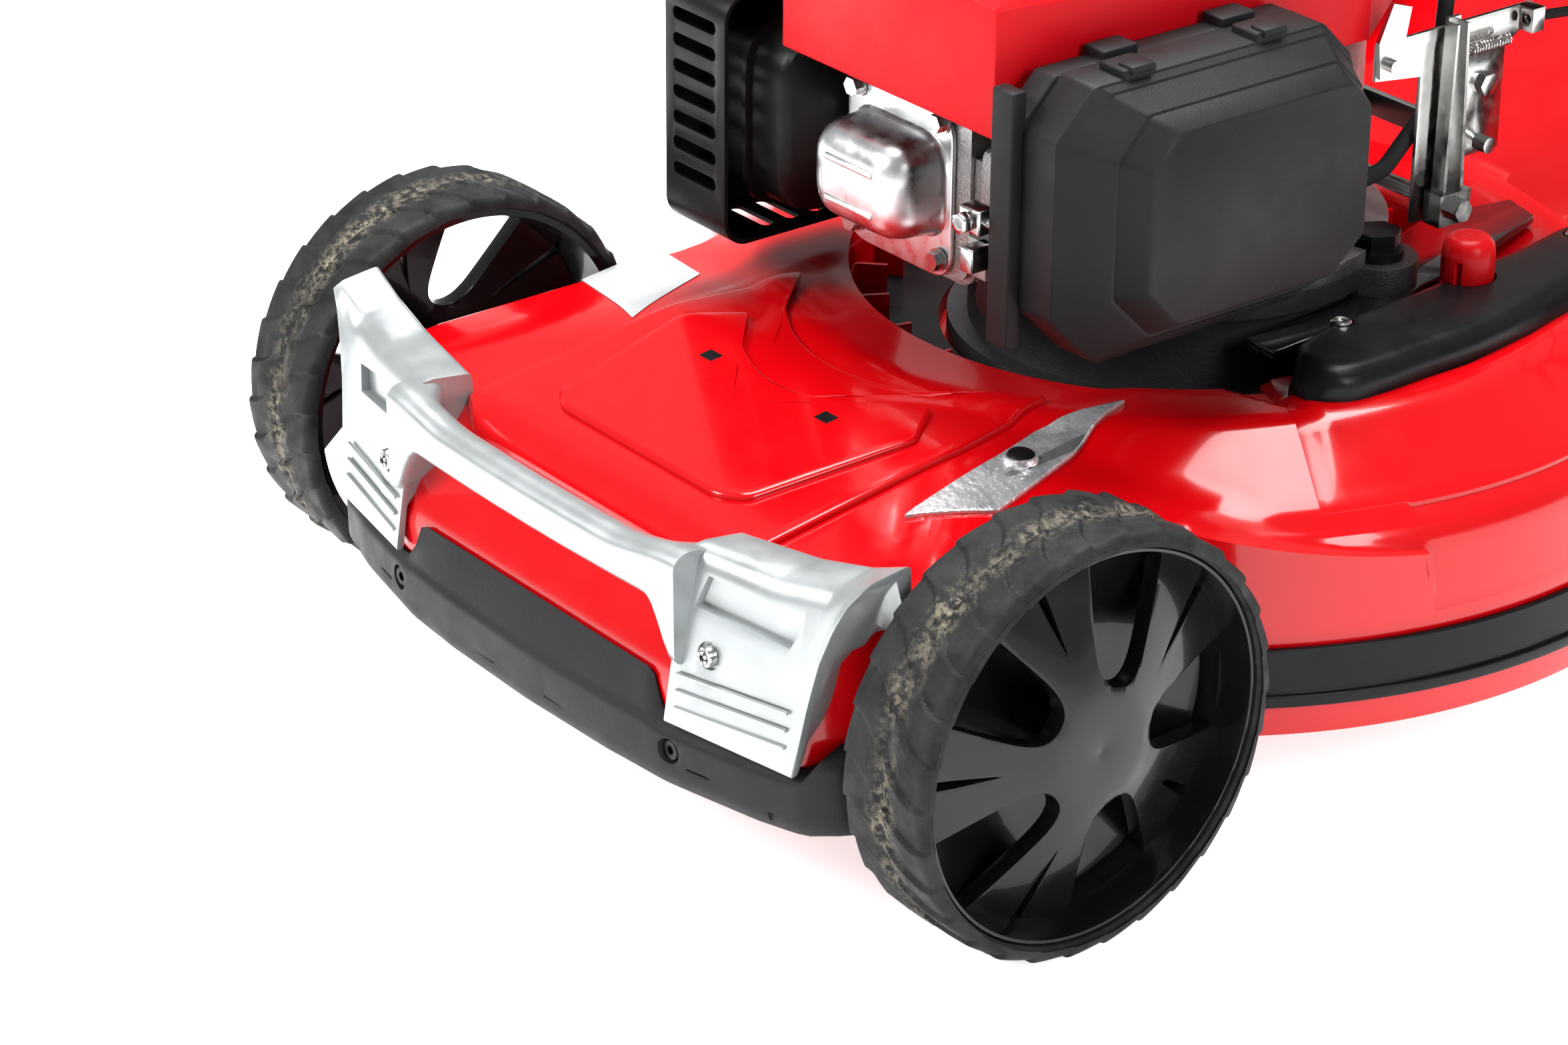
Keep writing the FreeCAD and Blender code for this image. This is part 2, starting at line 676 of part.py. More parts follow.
def oil_cap():
    plug = rod(92, 318, 190.3, 13, 4)
    head = hexagon(Vector(92, 318, 194), 20, 9)
    return fuse(plug, head, rod(92, 318, 152, 8.7, 38.5))


def fuel_hose():
    """Black hose from the tank to the carburettor, behind the filter box."""
    points = [Vector(84, 374, 320), Vector(84, 362, 314), Vector(92, 350, 262), Vector(93, 318, 234),
              Vector(93.5, 262, 226), Vector(88, 205, 212), Vector(80, 165, 214),
              Vector(72, 136, 232)]
    return bent_tube(points, 4, 14)


def control_bracket():
    """Zinc plate that carries the stop lever, the spring and a rubber stop."""
    plate = side([(330, 206), (358, 206), (358, 232), (386, 232), (386, 284), (402, 292),
                  (402, 302), (300, 302), (300, 284), (330, 280)], 99, 101)
    plate = plate.cut(rod(94, 306, 292, 3.2, 20, X))
    stop = rod(101, 372, 238, 4, 8, X)
    foot = box(33.5, 99, 352, 356, 240, 252)
    bolt = hexagon(Vector(101, 372, 268), 10, 5, X)
    plate = plate.cut(rod(90, 346, 214, 4 + running_fit, 20, X))
    cable_clamp = box(101, 110, 394, 402, 290, 302).cut(rod(105.5, 390, 296, 3.2, 20, Y))
    return fuse(plate, stop, foot, bolt, cable_clamp)


def governor_arm():
    """Channel arm on the governor shaft, with the clamp bolt at its foot."""
    web = side([(339, 210), (353, 210), (349, 308), (341, 308)], 104, 106)
    flanges = [side([(339, 212), (341, 212), (342.5, 306), (341, 306)], 104, 112),
               side([(351, 212), (353, 212), (349, 306), (347.5, 306)], 104, 112)]
    clamp = box(103, 114, 336, 356, 206, 222)
    shaft = rod(52, 346, 214, 4, 68, X)
    nut = hexagon(Vector(114, 346, 214), 10, 6, X)
    return fuse(web, *flanges, clamp, shaft, nut)


def governor_spring():
    """Coil spring from the bracket's ear to the governor arm."""
    return rod(108, 353.5, 290, 3, 28, Y)


def control_lever():
    """Stop lever turned by the cable's Z bend."""
    plate = side([(300, 286), (312, 286), (318, 318), (306, 322), (298, 304)], 101.5, 104)
    pin = rod(96, 306, 292, 3.15, 12, X)
    return fuse(plate, pin)


# ---------------------------------------------------------------- tail and handle

def rear_flap():
    """Discharge flap hanging on pins in the tail's lugs."""
    half = tunnel_half + 11
    panel = box(-half, half, 669.3, 672.6, 146, 262)
    barrel = rod(-half, hinge_y, hinge_z, 5.5, 2 * half, X)
    pins = rod(-half - 12, hinge_y, hinge_z, 3 - running_fit, 2 * half + 24, X)
    neck = side([(669.3, 256), (672.6, 256), (677, 264), (671, 266)], -half, half)
    ribs = [side([(672, 150), (678, 150), (678, 250), (672, 258)], x - 2, x + 2)
            for x in (-90, -45, 0, 45, 90)]
    return fuse(panel, barrel, pins, neck, *ribs)


def handle_brackets():
    """Bolted ears that carry the lower handle's pivots."""
    ear = side([(602, tail_top), (658, tail_top), (658, 270), (626, 308), (600, 308)], 160, 164)
    ear = ear.fuse(box(128, 164, 604, 658, tail_top, tail_top + 3.5))
    pin = rod(160, pivot_y, pivot_z, 5, 34, X)
    head = rod(191.2, pivot_y, pivot_z, 9, 4, X)
    return both(fuse(ear, pin, head))


def straight_tube(x, start, finish, radius, inner):
    a = handle_point(x, start)
    along = handle_point(x, finish) - a
    solid = Part.makeCylinder(radius, along.Length, a, along)
    return solid.cut(Part.makeCylinder(inner, along.Length, a, along))


def lower_handle():
    """Two straight tubes and the cross brace between them."""
    shape = []
    for s in (-1, 1):
        leg = straight_tube(s * lower_x, -16, joint_distance + 16, tube_radius, tube_radius - 1.5)
        foot = handle_point(s * lower_x, 0)
        bush = Part.makeCylinder(8, 2 * tube_radius, foot - X * tube_radius, X)
        bore = Part.makeCylinder(5.05, 60, foot - X * 30, X)
        top = handle_point(s * lower_x, joint_distance)
        top_bush = Part.makeCylinder(7, 2 * tube_radius, top - X * tube_radius, X)
        top_bore = Part.makeCylinder(4.05, 60, top - X * 30, X)
        shape.append(leg.fuse(bush).fuse(top_bush).cut(bore).cut(top_bore))
    a = handle_point(-lower_x + tube_radius - 1, 250)
    brace = Part.makeCylinder(8, 2 * (lower_x - tube_radius + 1), a, X)
    return fuse(shape[0], shape[1], brace)


def upper_handle():
    """Bent tube: two legs and the grip bar, with joint studs and bail studs."""
    end = joint_distance - 16
    points = [handle_point(-upper_x, end), handle_point(-upper_x, grip_distance),
              handle_point(upper_x, grip_distance), handle_point(upper_x, end)]
    bar = bent_tube(points, tube_radius, 55, tube_radius - 1.5)
    studs = []
    for s in (-1, 1):
        joint = handle_point(s * upper_x, joint_distance)
        stud = Part.makeCylinder(4, 75, joint - X * (48 if s > 0 else 27), X)
        collar = Part.makeCylinder(7, 2 * tube_radius + 2, joint - X * (tube_radius + 1), X)
        pivot = handle_point(s * upper_x, bail_distance)
        peg = Part.makeCylinder(4, 24, pivot - X * (24 if s > 0 else 0), X)
        studs += [stud, collar, peg]
    return fuse(bar, *studs)


def grip_foam():
    a = handle_point(-upper_x + 62, grip_distance)
    length = 2 * (upper_x - 62)
    return Part.makeCylinder(grip_radius, length, a, X).cut(
        Part.makeCylinder(tube_radius + 0.01, length, a, X))


def bail():
    """Operator presence bar, hinged on the pegs and resting off the grip."""
    arm_x = upper_x - tube_radius - 7
    lift, reach = 75.0, 115.0
    points = [handle_point(-arm_x, bail_distance), handle_point(-arm_x, bail_distance + reach, lift),
              handle_point(arm_x, bail_distance + reach, lift), handle_point(arm_x, bail_distance)]
    bar = bent_tube(points, 4, 24)
    eyes = []
    for s in (-1, 1):
        centre = handle_point(s * arm_x, bail_distance)
        eye = Part.makeCylinder(8, 6, centre - X * 3, X)
        eyes.append(eye)
    shape = fuse(bar, *eyes)
    for s in (-1, 1):
        centre = handle_point(s * arm_x, bail_distance)
        shape = shape.cut(Part.makeCylinder(4 + running_fit, 20, centre - X * 10, X))
    return shape


def clamp_lever():
    """Quick-release lever on the right joint stud."""
    joint = handle_point(upper_x, joint_distance)
    hub = Part.makeCylinder(10, 12, joint + X * (tube_radius + 1.3), X)
    low = handle_point(upper_x + tube_radius + 5, joint_distance - 62, 6)
    paddle = Part.makeCylinder(6, 64, joint + X * (tube_radius + 8), low - joint - X * (tube_radius + 5))
    shape = hub.fuse(paddle)
    return shape.cut(Part.makeCylinder(4 + running_fit, 40, joint, X))


def cable_points():
    """Route of the stop cable, in three stretches with a small gap at each handle joint."""
    lower_in = lower_x - tube_radius - 4.0
    upper_in = upper_x - tube_radius - 5.0
    lift = 11.5
    engine = [Vector(105.5, 402.2, 296), Vector(105.5, 440, 292), Vector(112, 478, 276),
              Vector(126, 520, 270), Vector(140, 562, 284), Vector(152, 592, 312),
              handle_point(lower_in, 56, lift)]
    lower = [handle_point(lower_in, 64, lift), handle_point(lower_in, joint_distance - 4, lift)]
    upper = [handle_point(lower_in - 6, joint_distance + 3, lift),
             handle_point(lower_in - 6, joint_distance + 40, lift),
             handle_point(upper_in, joint_distance + 110, 4),
             handle_point(upper_in, joint_distance + 190, 0),
             handle_point(upper_in, bail_distance - 20, 0.5)]
    return engine, lower, upper


def cable(points):
    return bent_tube(points, 2.5, 12)


# ---------------------------------------------------------------- write the parts

save("deck_shell", deck_shell())
save("front_bumper", bumper())
save("front_handle", front_handle())
save("torx_screws", torx_screws())
save("badge_plate", badge_plate())
save("deck_lens", lens_cover())
save("edge_guards", edge_guards())
save("carry_grip", carry_grip())
save("height_button", height_button())
save("axle_bushes", axle_bushes())
save("front_axle", cranked_axle(front_rod_y, 0.0, front_radius, 195.0))
save("rear_axle", cranked_axle(rear_rod_y, rear_axle_y, rear_radius, 195.0))
save("height_link", height_link())
for name, sign, y, radius in (("fr", 1, 0.0, front_radius), ("fl", -1, 0.0, front_radius),
                              ("rr", 1, rear_axle_y, rear_radius), ("rl", -1, rear_axle_y, rear_radius)):
    save("wheel_rim_" + name, wheel_rim(sign, y, radius, radius))
    save("wheel_tyre_" + name, wheel_tyre(sign, y, radius, radius))
save("crankshaft", crankshaft())
save("blade_hub", blade_hub())
save("blade", blade())
save("blade_bolt", blade_bolt())
save("flywheel", flywheel())
save("engine_ring", engine_ring())
save("sump", sump())
save("crankcase", crankcase())
save("cylinder_head", cylinder_head())
save("valve_cover", valve_cover())
save("valve_cover_bolts", valve_cover_bolts())
save("muffler", muffler())
save("muffler_guard", muffler_guard())
save("carburettor", carburettor())
save("air_filter_base", air_filter_base())
save("air_filter_element", air_filter_element())
save("air_filter_cover", air_filter_cover())
save("engine_cowl", engine_cowl())
save("recoil_housing", recoil_housing())
save("starter_grip", starter_grip())
save("fuel_tank", fuel_tank())
save("fuel_cap", fuel_cap())
save("oil_cap", oil_cap())
save("fuel_hose", fuel_hose())
save("control_bracket", control_bracket())
save("governor_arm", governor_arm())
save("governor_spring", governor_spring())
save("control_lever", control_lever())
save("rear_flap", rear_flap())
save("handle_brackets", handle_brackets())
save("lower_handle", lower_handle())
save("upper_handle", upper_handle())
save("grip_foam", grip_foam())
save("bail", bail())
save("clamp_right", clamp_lever())
save("clamp_left", mirror(clamp_lever()))
cable_engine, cable_lower, cable_upper = cable_points()
save("cable_engine", cable(cable_engine))
save("cable_lower", cable(cable_lower))
save("cable_upper", cable(cable_upper))
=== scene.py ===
import bpy
import bmesh
import math
from mathutils import Matrix, Vector, noise


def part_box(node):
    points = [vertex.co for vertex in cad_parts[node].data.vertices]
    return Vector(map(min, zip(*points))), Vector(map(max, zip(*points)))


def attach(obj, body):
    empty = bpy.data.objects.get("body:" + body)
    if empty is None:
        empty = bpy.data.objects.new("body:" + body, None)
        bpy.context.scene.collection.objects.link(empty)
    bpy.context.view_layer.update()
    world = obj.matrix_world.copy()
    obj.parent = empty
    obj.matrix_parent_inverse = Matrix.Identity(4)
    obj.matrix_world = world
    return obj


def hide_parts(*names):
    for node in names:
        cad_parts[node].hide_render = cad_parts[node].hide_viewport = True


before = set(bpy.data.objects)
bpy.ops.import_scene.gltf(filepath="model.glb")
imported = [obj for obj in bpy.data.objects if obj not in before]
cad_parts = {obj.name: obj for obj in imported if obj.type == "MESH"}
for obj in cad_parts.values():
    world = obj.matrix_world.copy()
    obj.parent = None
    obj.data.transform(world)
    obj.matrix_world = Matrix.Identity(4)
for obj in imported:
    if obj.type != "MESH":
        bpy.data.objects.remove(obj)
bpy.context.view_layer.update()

mm = 0.001
tyreLow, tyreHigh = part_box("wheel_tyre_fr")
axleY = (tyreLow.y + tyreHigh.y) / 2      # every piece is measured from the front axle
shaftY = 270                              # the engine shaft, in mm behind the front axle


def at(x, y, z):
    return Vector((x * mm, axleY + y * mm, z * mm))


def clamp(value, low=0.0, high=1.0):
    return max(low, min(high, value))


def smooth(low, high, value):
    t = clamp((value - low) / (high - low))
    return t * t * (3 - 2 * t)


def mix(a, b, t):
    return a + (b - a) * t


def softMin(a, b, blend):
    h = clamp(0.5 + 0.5 * (b - a) / blend)
    return mix(b, a, h) - blend * h * (1 - h)


def softMax(a, b, blend):
    return -softMin(-a, -b, blend)


def along(points, value):
    # straight-line table lookup
    if value <= points[0][0]:
        return points[0][1]
    for (x0, y0), (x1, y1) in zip(points, points[1:]):
        if value <= x1:
            return mix(y0, y1, (value - x0) / (x1 - x0))
    return points[-1][1]


# materials

def newMaterial(name):
    material = bpy.data.materials.new(name)
    material.use_nodes = True
    return material, material.node_tree, material.node_tree.nodes["Principled BSDF"]


def noiseNode(tree, scale, detail=3.0, rough=0.5):
    coords = tree.nodes.new("ShaderNodeTexCoord")
    texture = tree.nodes.new("ShaderNodeTexNoise")
    texture.inputs["Scale"].default_value = scale
    texture.inputs["Detail"].default_value = detail
    texture.inputs["Roughness"].default_value = rough
    tree.links.new(coords.outputs["Object"], texture.inputs["Vector"])
    return texture.outputs["Fac"]


def remap(tree, value, low, high, fromLow=0.35, fromHigh=0.65):
    node = tree.nodes.new("ShaderNodeMapRange")
    node.inputs["From Min"].default_value = fromLow
    node.inputs["From Max"].default_value = fromHigh
    node.inputs["To Min"].default_value = low
    node.inputs["To Max"].default_value = high
    tree.links.new(value, node.inputs["Value"])
    return node.outputs["Result"]


def blendColor(tree, factor, first, second):
    node = tree.nodes.new("ShaderNodeMix")
    node.data_type = "RGBA"
    for socket, value in ((node.inputs[6], first), (node.inputs[7], second)):
        if isinstance(value, tuple):
            socket.default_value = (*value, 1)
        else:
            tree.links.new(value, socket)
    tree.links.new(factor, node.inputs[0])
    return node.outputs[2]


def bump(tree, shader, height, distance, strength=1.0):
    node = tree.nodes.new("ShaderNodeBump")
    node.inputs["Distance"].default_value = distance
    node.inputs["Strength"].default_value = strength
    tree.links.new(height, node.inputs["Height"])
    tree.links.new(node.outputs["Normal"], shader.inputs["Normal"])
    return node


def surface(name, color, rough, metal=0.0, coat=0.0, grain=0.0, grainScale=1400, spread=0.08,
            spreadScale=14, roughSpread=0.06, shine=0.12):
    # colour and roughness drift slowly over the piece, and a fine grain bumps it
    material, tree, shader = newMaterial(name)
    cloud = noiseNode(tree, spreadScale, 4.0)
    dark = tuple(c * (1 - spread) for c in color)
    light = tuple(min(1.0, c * (1 + spread)) for c in color)
    tree.links.new(blendColor(tree, remap(tree, cloud, 0, 1), dark, light), shader.inputs["Base Color"])
    fine = noiseNode(tree, grainScale, 2.0)
    worn = noiseNode(tree, spreadScale * 4, 5.0)
    tree.links.new(remap(tree, worn, rough - roughSpread, rough + roughSpread), shader.inputs["Roughness"])
    shader.inputs["Metallic"].default_value = metal
    shader.inputs["Specular IOR Level"].default_value = shine if metal < 0.5 else 0.5
    shader.inputs["Coat Weight"].default_value = coat
    shader.inputs["Coat Roughness"].default_value = 0.04
    if grain > 0:
        bump(tree, shader, fine, grain * mm)
    return material


def mathNode(tree, operation, first, second=None):
    node = tree.nodes.new("ShaderNodeMath")
    node.operation = operation
    tree.links.new(first, node.inputs[0])
    if isinstance(second, float):
        node.inputs[1].default_value = second
    elif second is not None:
        tree.links.new(second, node.inputs[1])
    return node.outputs[0]


def tyreMaterial():
    # dusty rubber, with pale dirt gathered along the middle of the tread
    material, tree, shader = newMaterial("tyreRubber")
    coords = tree.nodes.new("ShaderNodeTexCoord")
    split = tree.nodes.new("ShaderNodeSeparateXYZ")
    tree.links.new(coords.outputs["Object"], split.inputs[0])
    outward = mathNode(tree, "ABSOLUTE", split.outputs["X"])
    away = mathNode(tree, "SUBTRACT", outward, (tyreLow.x + tyreHigh.x) / 2)
    near = remap(tree, mathNode(tree, "ABSOLUTE", away), 1.0, 0.0, 0.001, 0.011)
    spots = remap(tree, noiseNode(tree, 260, 6.0, 0.7), 0, 1, 0.46, 0.60)
    patches = remap(tree, noiseNode(tree, 38, 4.0), 0.25, 1, 0.40, 0.58)
    dirt = mathNode(tree, "MULTIPLY", mathNode(tree, "MULTIPLY", near, spots), patches)
    dustAndShade = remap(tree, noiseNode(tree, 55, 5.0, 0.65), 0, 1, 0.35, 0.68)
    rubber = blendColor(tree, dustAndShade, (0.006, 0.0063, 0.007), (0.020, 0.0203, 0.0205))
    tree.links.new(blendColor(tree, dirt, rubber, (0.17, 0.15, 0.11)), shader.inputs["Base Color"])
    tree.links.new(remap(tree, noiseNode(tree, 90, 4.0), 0.48, 0.72), shader.inputs["Roughness"])
    shader.inputs["Specular IOR Level"].default_value = 0.12
    bump(tree, shader, noiseNode(tree, 1100, 4.0), 0.25 * mm)
    return material


redPaint = surface("redPaint", (0.42, 0.0006, 0.0025), 0.16, coat=0.22, shine=0.22, grain=0.0, spread=0.03,
                   roughSpread=0.03)
redMatt = surface("redMatt", (0.44, 0.002, 0.006), 0.42, grain=0.10, grainScale=1500, spread=0.04)
redCap = surface("redCap", (0.36, 0.002, 0.004), 0.33, grain=0.03, spread=0.04)
charcoal = surface("charcoalPlastic", (0.012, 0.012, 0.013), 0.50, grain=0.16, grainScale=1300, spread=0.15)
filterBlack = surface("filterBlack", (0.010, 0.010, 0.0105), 0.47, grain=0.12, grainScale=1700, spread=0.18)
satinBlack = surface("satinBlack", (0.0045, 0.0045, 0.005), 0.30, grain=0.03, spread=0.12)
rimBlack = surface("rimBlack", (0.0045, 0.0045, 0.005), 0.24, coat=0.25, grain=0.02, spread=0.12)
guardBlack = surface("guardBlack", (0.004, 0.004, 0.004), 0.36, grain=0.05, spread=0.15)
silver = surface("silverLacquer", (0.30, 0.32, 0.323), 0.34, metal=0.6, coat=0.25, grain=0.04,
                 grainScale=2600, spread=0.04)
zinc = surface("zincPlate", (0.42, 0.42, 0.41), 0.20, metal=1.0, grain=0.02, spread=0.07, spreadScale=40)
castDark = surface("castDark", (0.03, 0.03, 0.032), 0.45, metal=0.5, grain=0.3, grainScale=700)
glossBlack = surface("glossBlack", (0.005, 0.005, 0.006), 0.14, coat=0.3, shine=0.3)
cast = surface("castAlloy", (0.26, 0.26, 0.255), 0.40, metal=0.9, grain=0.35, grainScale=700, spread=0.14,
               spreadScale=30)
steel = surface("bareSteel", (0.22, 0.22, 0.225), 0.33, metal=1.0, grain=0.05, spread=0.12, spreadScale=35)
softBlack = surface("softBlack", (0.008, 0.008, 0.0085), 0.62, grain=0.12, grainScale=900, spread=0.15)
foamGrip = surface("foamGrip", (0.020, 0.020, 0.021), 0.80, grain=0.5, grainScale=420, spread=0.2)
filterFoam = surface("filterFoam", (0.16, 0.15, 0.13), 0.9, grain=0.8, grainScale=300, spread=0.25)
labelGrey = surface("labelGrey", (0.34, 0.35, 0.355), 0.30, spread=0.03)
tyreRubber = tyreMaterial()


def lensMaterial():
    material, tree, shader = newMaterial("clearLens")
    tree.links.new(blendColor(tree, remap(tree, noiseNode(tree, 60, 3.0), 0, 1), (0.80, 0.82, 0.84),
                              (0.95, 0.96, 0.97)), shader.inputs["Base Color"])
    shader.inputs["Roughness"].default_value = 0.08
    shader.inputs["Transmission Weight"].default_value = 0.75
    shader.inputs["IOR"].default_value = 1.49
    bump(tree, shader, noiseNode(tree, 240, 1.0), 0.3 * mm)
    return material


clearLens = lensMaterial()
reflector = surface("reflectorSilver", (0.86, 0.87, 0.88), 0.16, metal=0.9, grain=0.3, grainScale=260,
                    spread=0.10, spreadScale=70)

print("materials ready")


# mesh makers

def addPiece(name, mesh, material, body, slot, *replaced, flat=False):
    # put a finished mesh into the scene, on its body
    piece = bpy.data.objects.new(name, mesh)
    bpy.context.scene.collection.objects.link(piece)
    mesh.materials.clear()
    mesh.materials.append(material)
    for face in mesh.polygons:
        face.use_smooth = not flat
    if not flat:
        mesh.set_sharp_from_angle(angle=math.radians(38))
    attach(piece, body)
    if replaced:
        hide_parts(*replaced)
    return piece


def fixNormals(mesh):
    work = bmesh.new()
    work.from_mesh(mesh)
    bmesh.ops.remove_doubles(work, verts=work.verts, dist=1e-6)
    bmesh.ops.recalc_face_normals(work, faces=work.faces)
    work.to_mesh(mesh)
    work.free()
    return mesh


def meshFrom(name, points, faces):
    mesh = bpy.data.meshes.new(name)
    mesh.from_pydata([tuple(p) for p in points], [], faces)
    mesh.validate()
    return fixNormals(mesh)


def loft(name, rings, closedAlong=False):
    # skin a list of closed rings that have the same number of points
    count = len(rings[0])
    points = [p for ring in rings for p in ring]
    faces = []
    for i in range(len(rings) if closedAlong else len(rings) - 1):
        j = (i + 1) % len(rings)
        for k in range(count):
            m = (k + 1) % count
            faces.append((i * count + k, i * count + m, j * count + m, j * count + k))
    if not closedAlong:
        faces.append(tuple(range(count)))
        faces.append(tuple(range(len(points) - count, len(points))))
    return meshFrom(name, points, faces)


def turned(name, profile, centre, axis="X", steps=96):
    # turn a closed (along, radius) outline about an axis through centre
    rings = []
    for i in range(steps):
        angle = 2 * math.pi * i / steps
        ring = []
        for distance, radius in profile:
            a, b = radius * math.cos(angle) * mm, radius * math.sin(angle) * mm
            offset = {"X": (distance * mm, a, b), "Y": (a, distance * mm, b),
                      "Z": (a, b, distance * mm)}[axis]
            ring.append(centre + Vector(offset))
        rings.append(ring)
    return loft(name, rings, closedAlong=True)


def roundCorners(points, radii, steps=4):
    # a closed 2D outline with each corner replaced by a small curve
    result = []
    for i, point in enumerate(points):
        corner = Vector(point)
        toBefore = Vector(points[i - 1]) - corner
        toAfter = Vector(points[(i + 1) % len(points)]) - corner
        radius = radii[i] if isinstance(radii, (list, tuple)) else radii
        reach = min(radius, toBefore.length * 0.49, toAfter.length * 0.49)
        if reach <= 0:
            result.append(corner)
            continue
        first = corner + toBefore.normalized() * reach
        second = corner + toAfter.normalized() * reach
        for k in range(steps + 1):
            t = k / steps
            result.append(first * (1 - t) ** 2 + corner * 2 * t * (1 - t) + second * t * t)
    return result


def slab(name, outline, place, thickness, edge=0.8, holes=(), segments=3):
    # a flat plate with rounded edges; place turns (u, v, w) in mm into the frame
    curve = bpy.data.curves.new(name, "CURVE")
    curve.dimensions = "2D"
    curve.fill_mode = "BOTH"
    for ring in (outline, *holes):
        spline = curve.splines.new("POLY")
        spline.points.add(len(ring) - 1)
        for point, (u, v) in zip(spline.points, ring):
            point.co = (u, v, 0, 1)
        spline.use_cyclic_u = True
    curve.extrude = thickness / 2 - edge
    curve.bevel_depth = edge
    curve.offset = -edge
    curve.bevel_resolution = segments
    helper = bpy.data.objects.new(name, curve)
    bpy.context.scene.collection.objects.link(helper)
    mesh = evaluated(helper)
    bpy.data.curves.remove(curve)
    for vertex in mesh.vertices:
        vertex.co = place(*vertex.co)
    return fixNormals(mesh)


def evaluated(helper):
    bpy.context.view_layer.update()
    depsgraph = bpy.context.evaluated_depsgraph_get()
    mesh = bpy.data.meshes.new_from_object(helper.evaluated_get(depsgraph))
    bpy.data.objects.remove(helper)
    return mesh


def modified(mesh, kind, **settings):
    helper = bpy.data.objects.new("helper", mesh)
    bpy.context.scene.collection.objects.link(helper)
    modifier = helper.modifiers.new(kind, kind)
    for key, value in settings.items():
        setattr(modifier, key, value)
    return evaluated(helper)


def cut(mesh, *tools, operation="DIFFERENCE"):
    tool = bpy.data.objects.new("tool", joined(tools))
    bpy.context.scene.collection.objects.link(tool)
    result = modified(mesh, "BOOLEAN", operation=operation, object=tool, solver="EXACT")
    bpy.data.objects.remove(tool)
    return result


def bevelled(mesh, width, segments=3, angle=30):
    return modified(mesh, "BEVEL", width=width * mm, segments=segments, limit_method="ANGLE",
                    angle_limit=math.radians(angle))


def joined(meshes, name="joined"):
    work = bmesh.new()
    for mesh in meshes:
        work.from_mesh(mesh)
    result = bpy.data.meshes.new(name)
    work.to_mesh(result)
    work.free()
    return result


def mirrored(mesh):
    copy = mesh.copy()
    copy.transform(Matrix.Diagonal((-1, 1, 1, 1)))
    copy.flip_normals()
    return copy


def rodMesh(start, end, radius, steps=32, tip=None):
    direction = end - start
    turn = direction.to_track_quat("Z", "Y").to_matrix().to_4x4()
    work = bmesh.new()
    bmesh.ops.create_cone(work, cap_ends=True, segments=steps, radius1=radius * mm,
                          radius2=(radius if tip is None else tip) * mm, depth=direction.length)
    bmesh.ops.transform(work, matrix=Matrix.Translation((start + end) / 2) @ turn, verts=work.verts)
    mesh = bpy.data.meshes.new("rod")
    work.to_mesh(mesh)
    work.free()
    return mesh


def boxMesh(x0, x1, y0, y1, z0, z1):
    low, high = at(x0, y0, z0), at(x1, y1, z1)
    work = bmesh.new()
    bmesh.ops.create_cube(work, size=1)
    for vertex in work.verts:
        vertex.co = Vector([mix(low[k], high[k], vertex.co[k] + 0.5) for k in range(3)])
    mesh = bpy.data.meshes.new("block")
    work.to_mesh(mesh)
    work.free()
    return mesh


def sweep(name, points, radius, steps=16, closed=False):
    # a round tube along a smooth line of points
    rings = []
    up = Vector((0.31, 0.17, 0.93)).normalized()
    count = len(points)
    for i, point in enumerate(points):
        before = points[i - 1] if i or closed else point
        after = points[(i + 1) % count] if i < count - 1 or closed else point
        direction = (after - before).normalized()
        up = (up - direction * up.dot(direction)).normalized()
        sideways = direction.cross(up)
        size = (radius(i / (count - 1)) if callable(radius) else radius) * mm
        rings.append([point + (up * math.cos(2 * math.pi * k / steps) +
                               sideways * math.sin(2 * math.pi * k / steps)) * size for k in range(steps)])
    return loft(name, rings, closedAlong=closed)


def smoothLine(points, steps=12):
    # a Catmull-Rom curve through the points
    result = []
    for i in range(len(points) - 1):
        p0 = points[max(i - 1, 0)]
        p1, p2 = points[i], points[i + 1]
        p3 = points[min(i + 2, len(points) - 1)]
        for k in range(steps):
            t = k / steps
            result.append(0.5 * ((2 * p1) + (p2 - p0) * t + (2 * p0 - 5 * p1 + 4 * p2 - p3) * t * t
                                 + (3 * p1 - p0 - 3 * p2 + p3) * t ** 3))
    result.append(points[-1])
    return result


# a Geometry Nodes tree that repeats its mesh around an axis or along a line

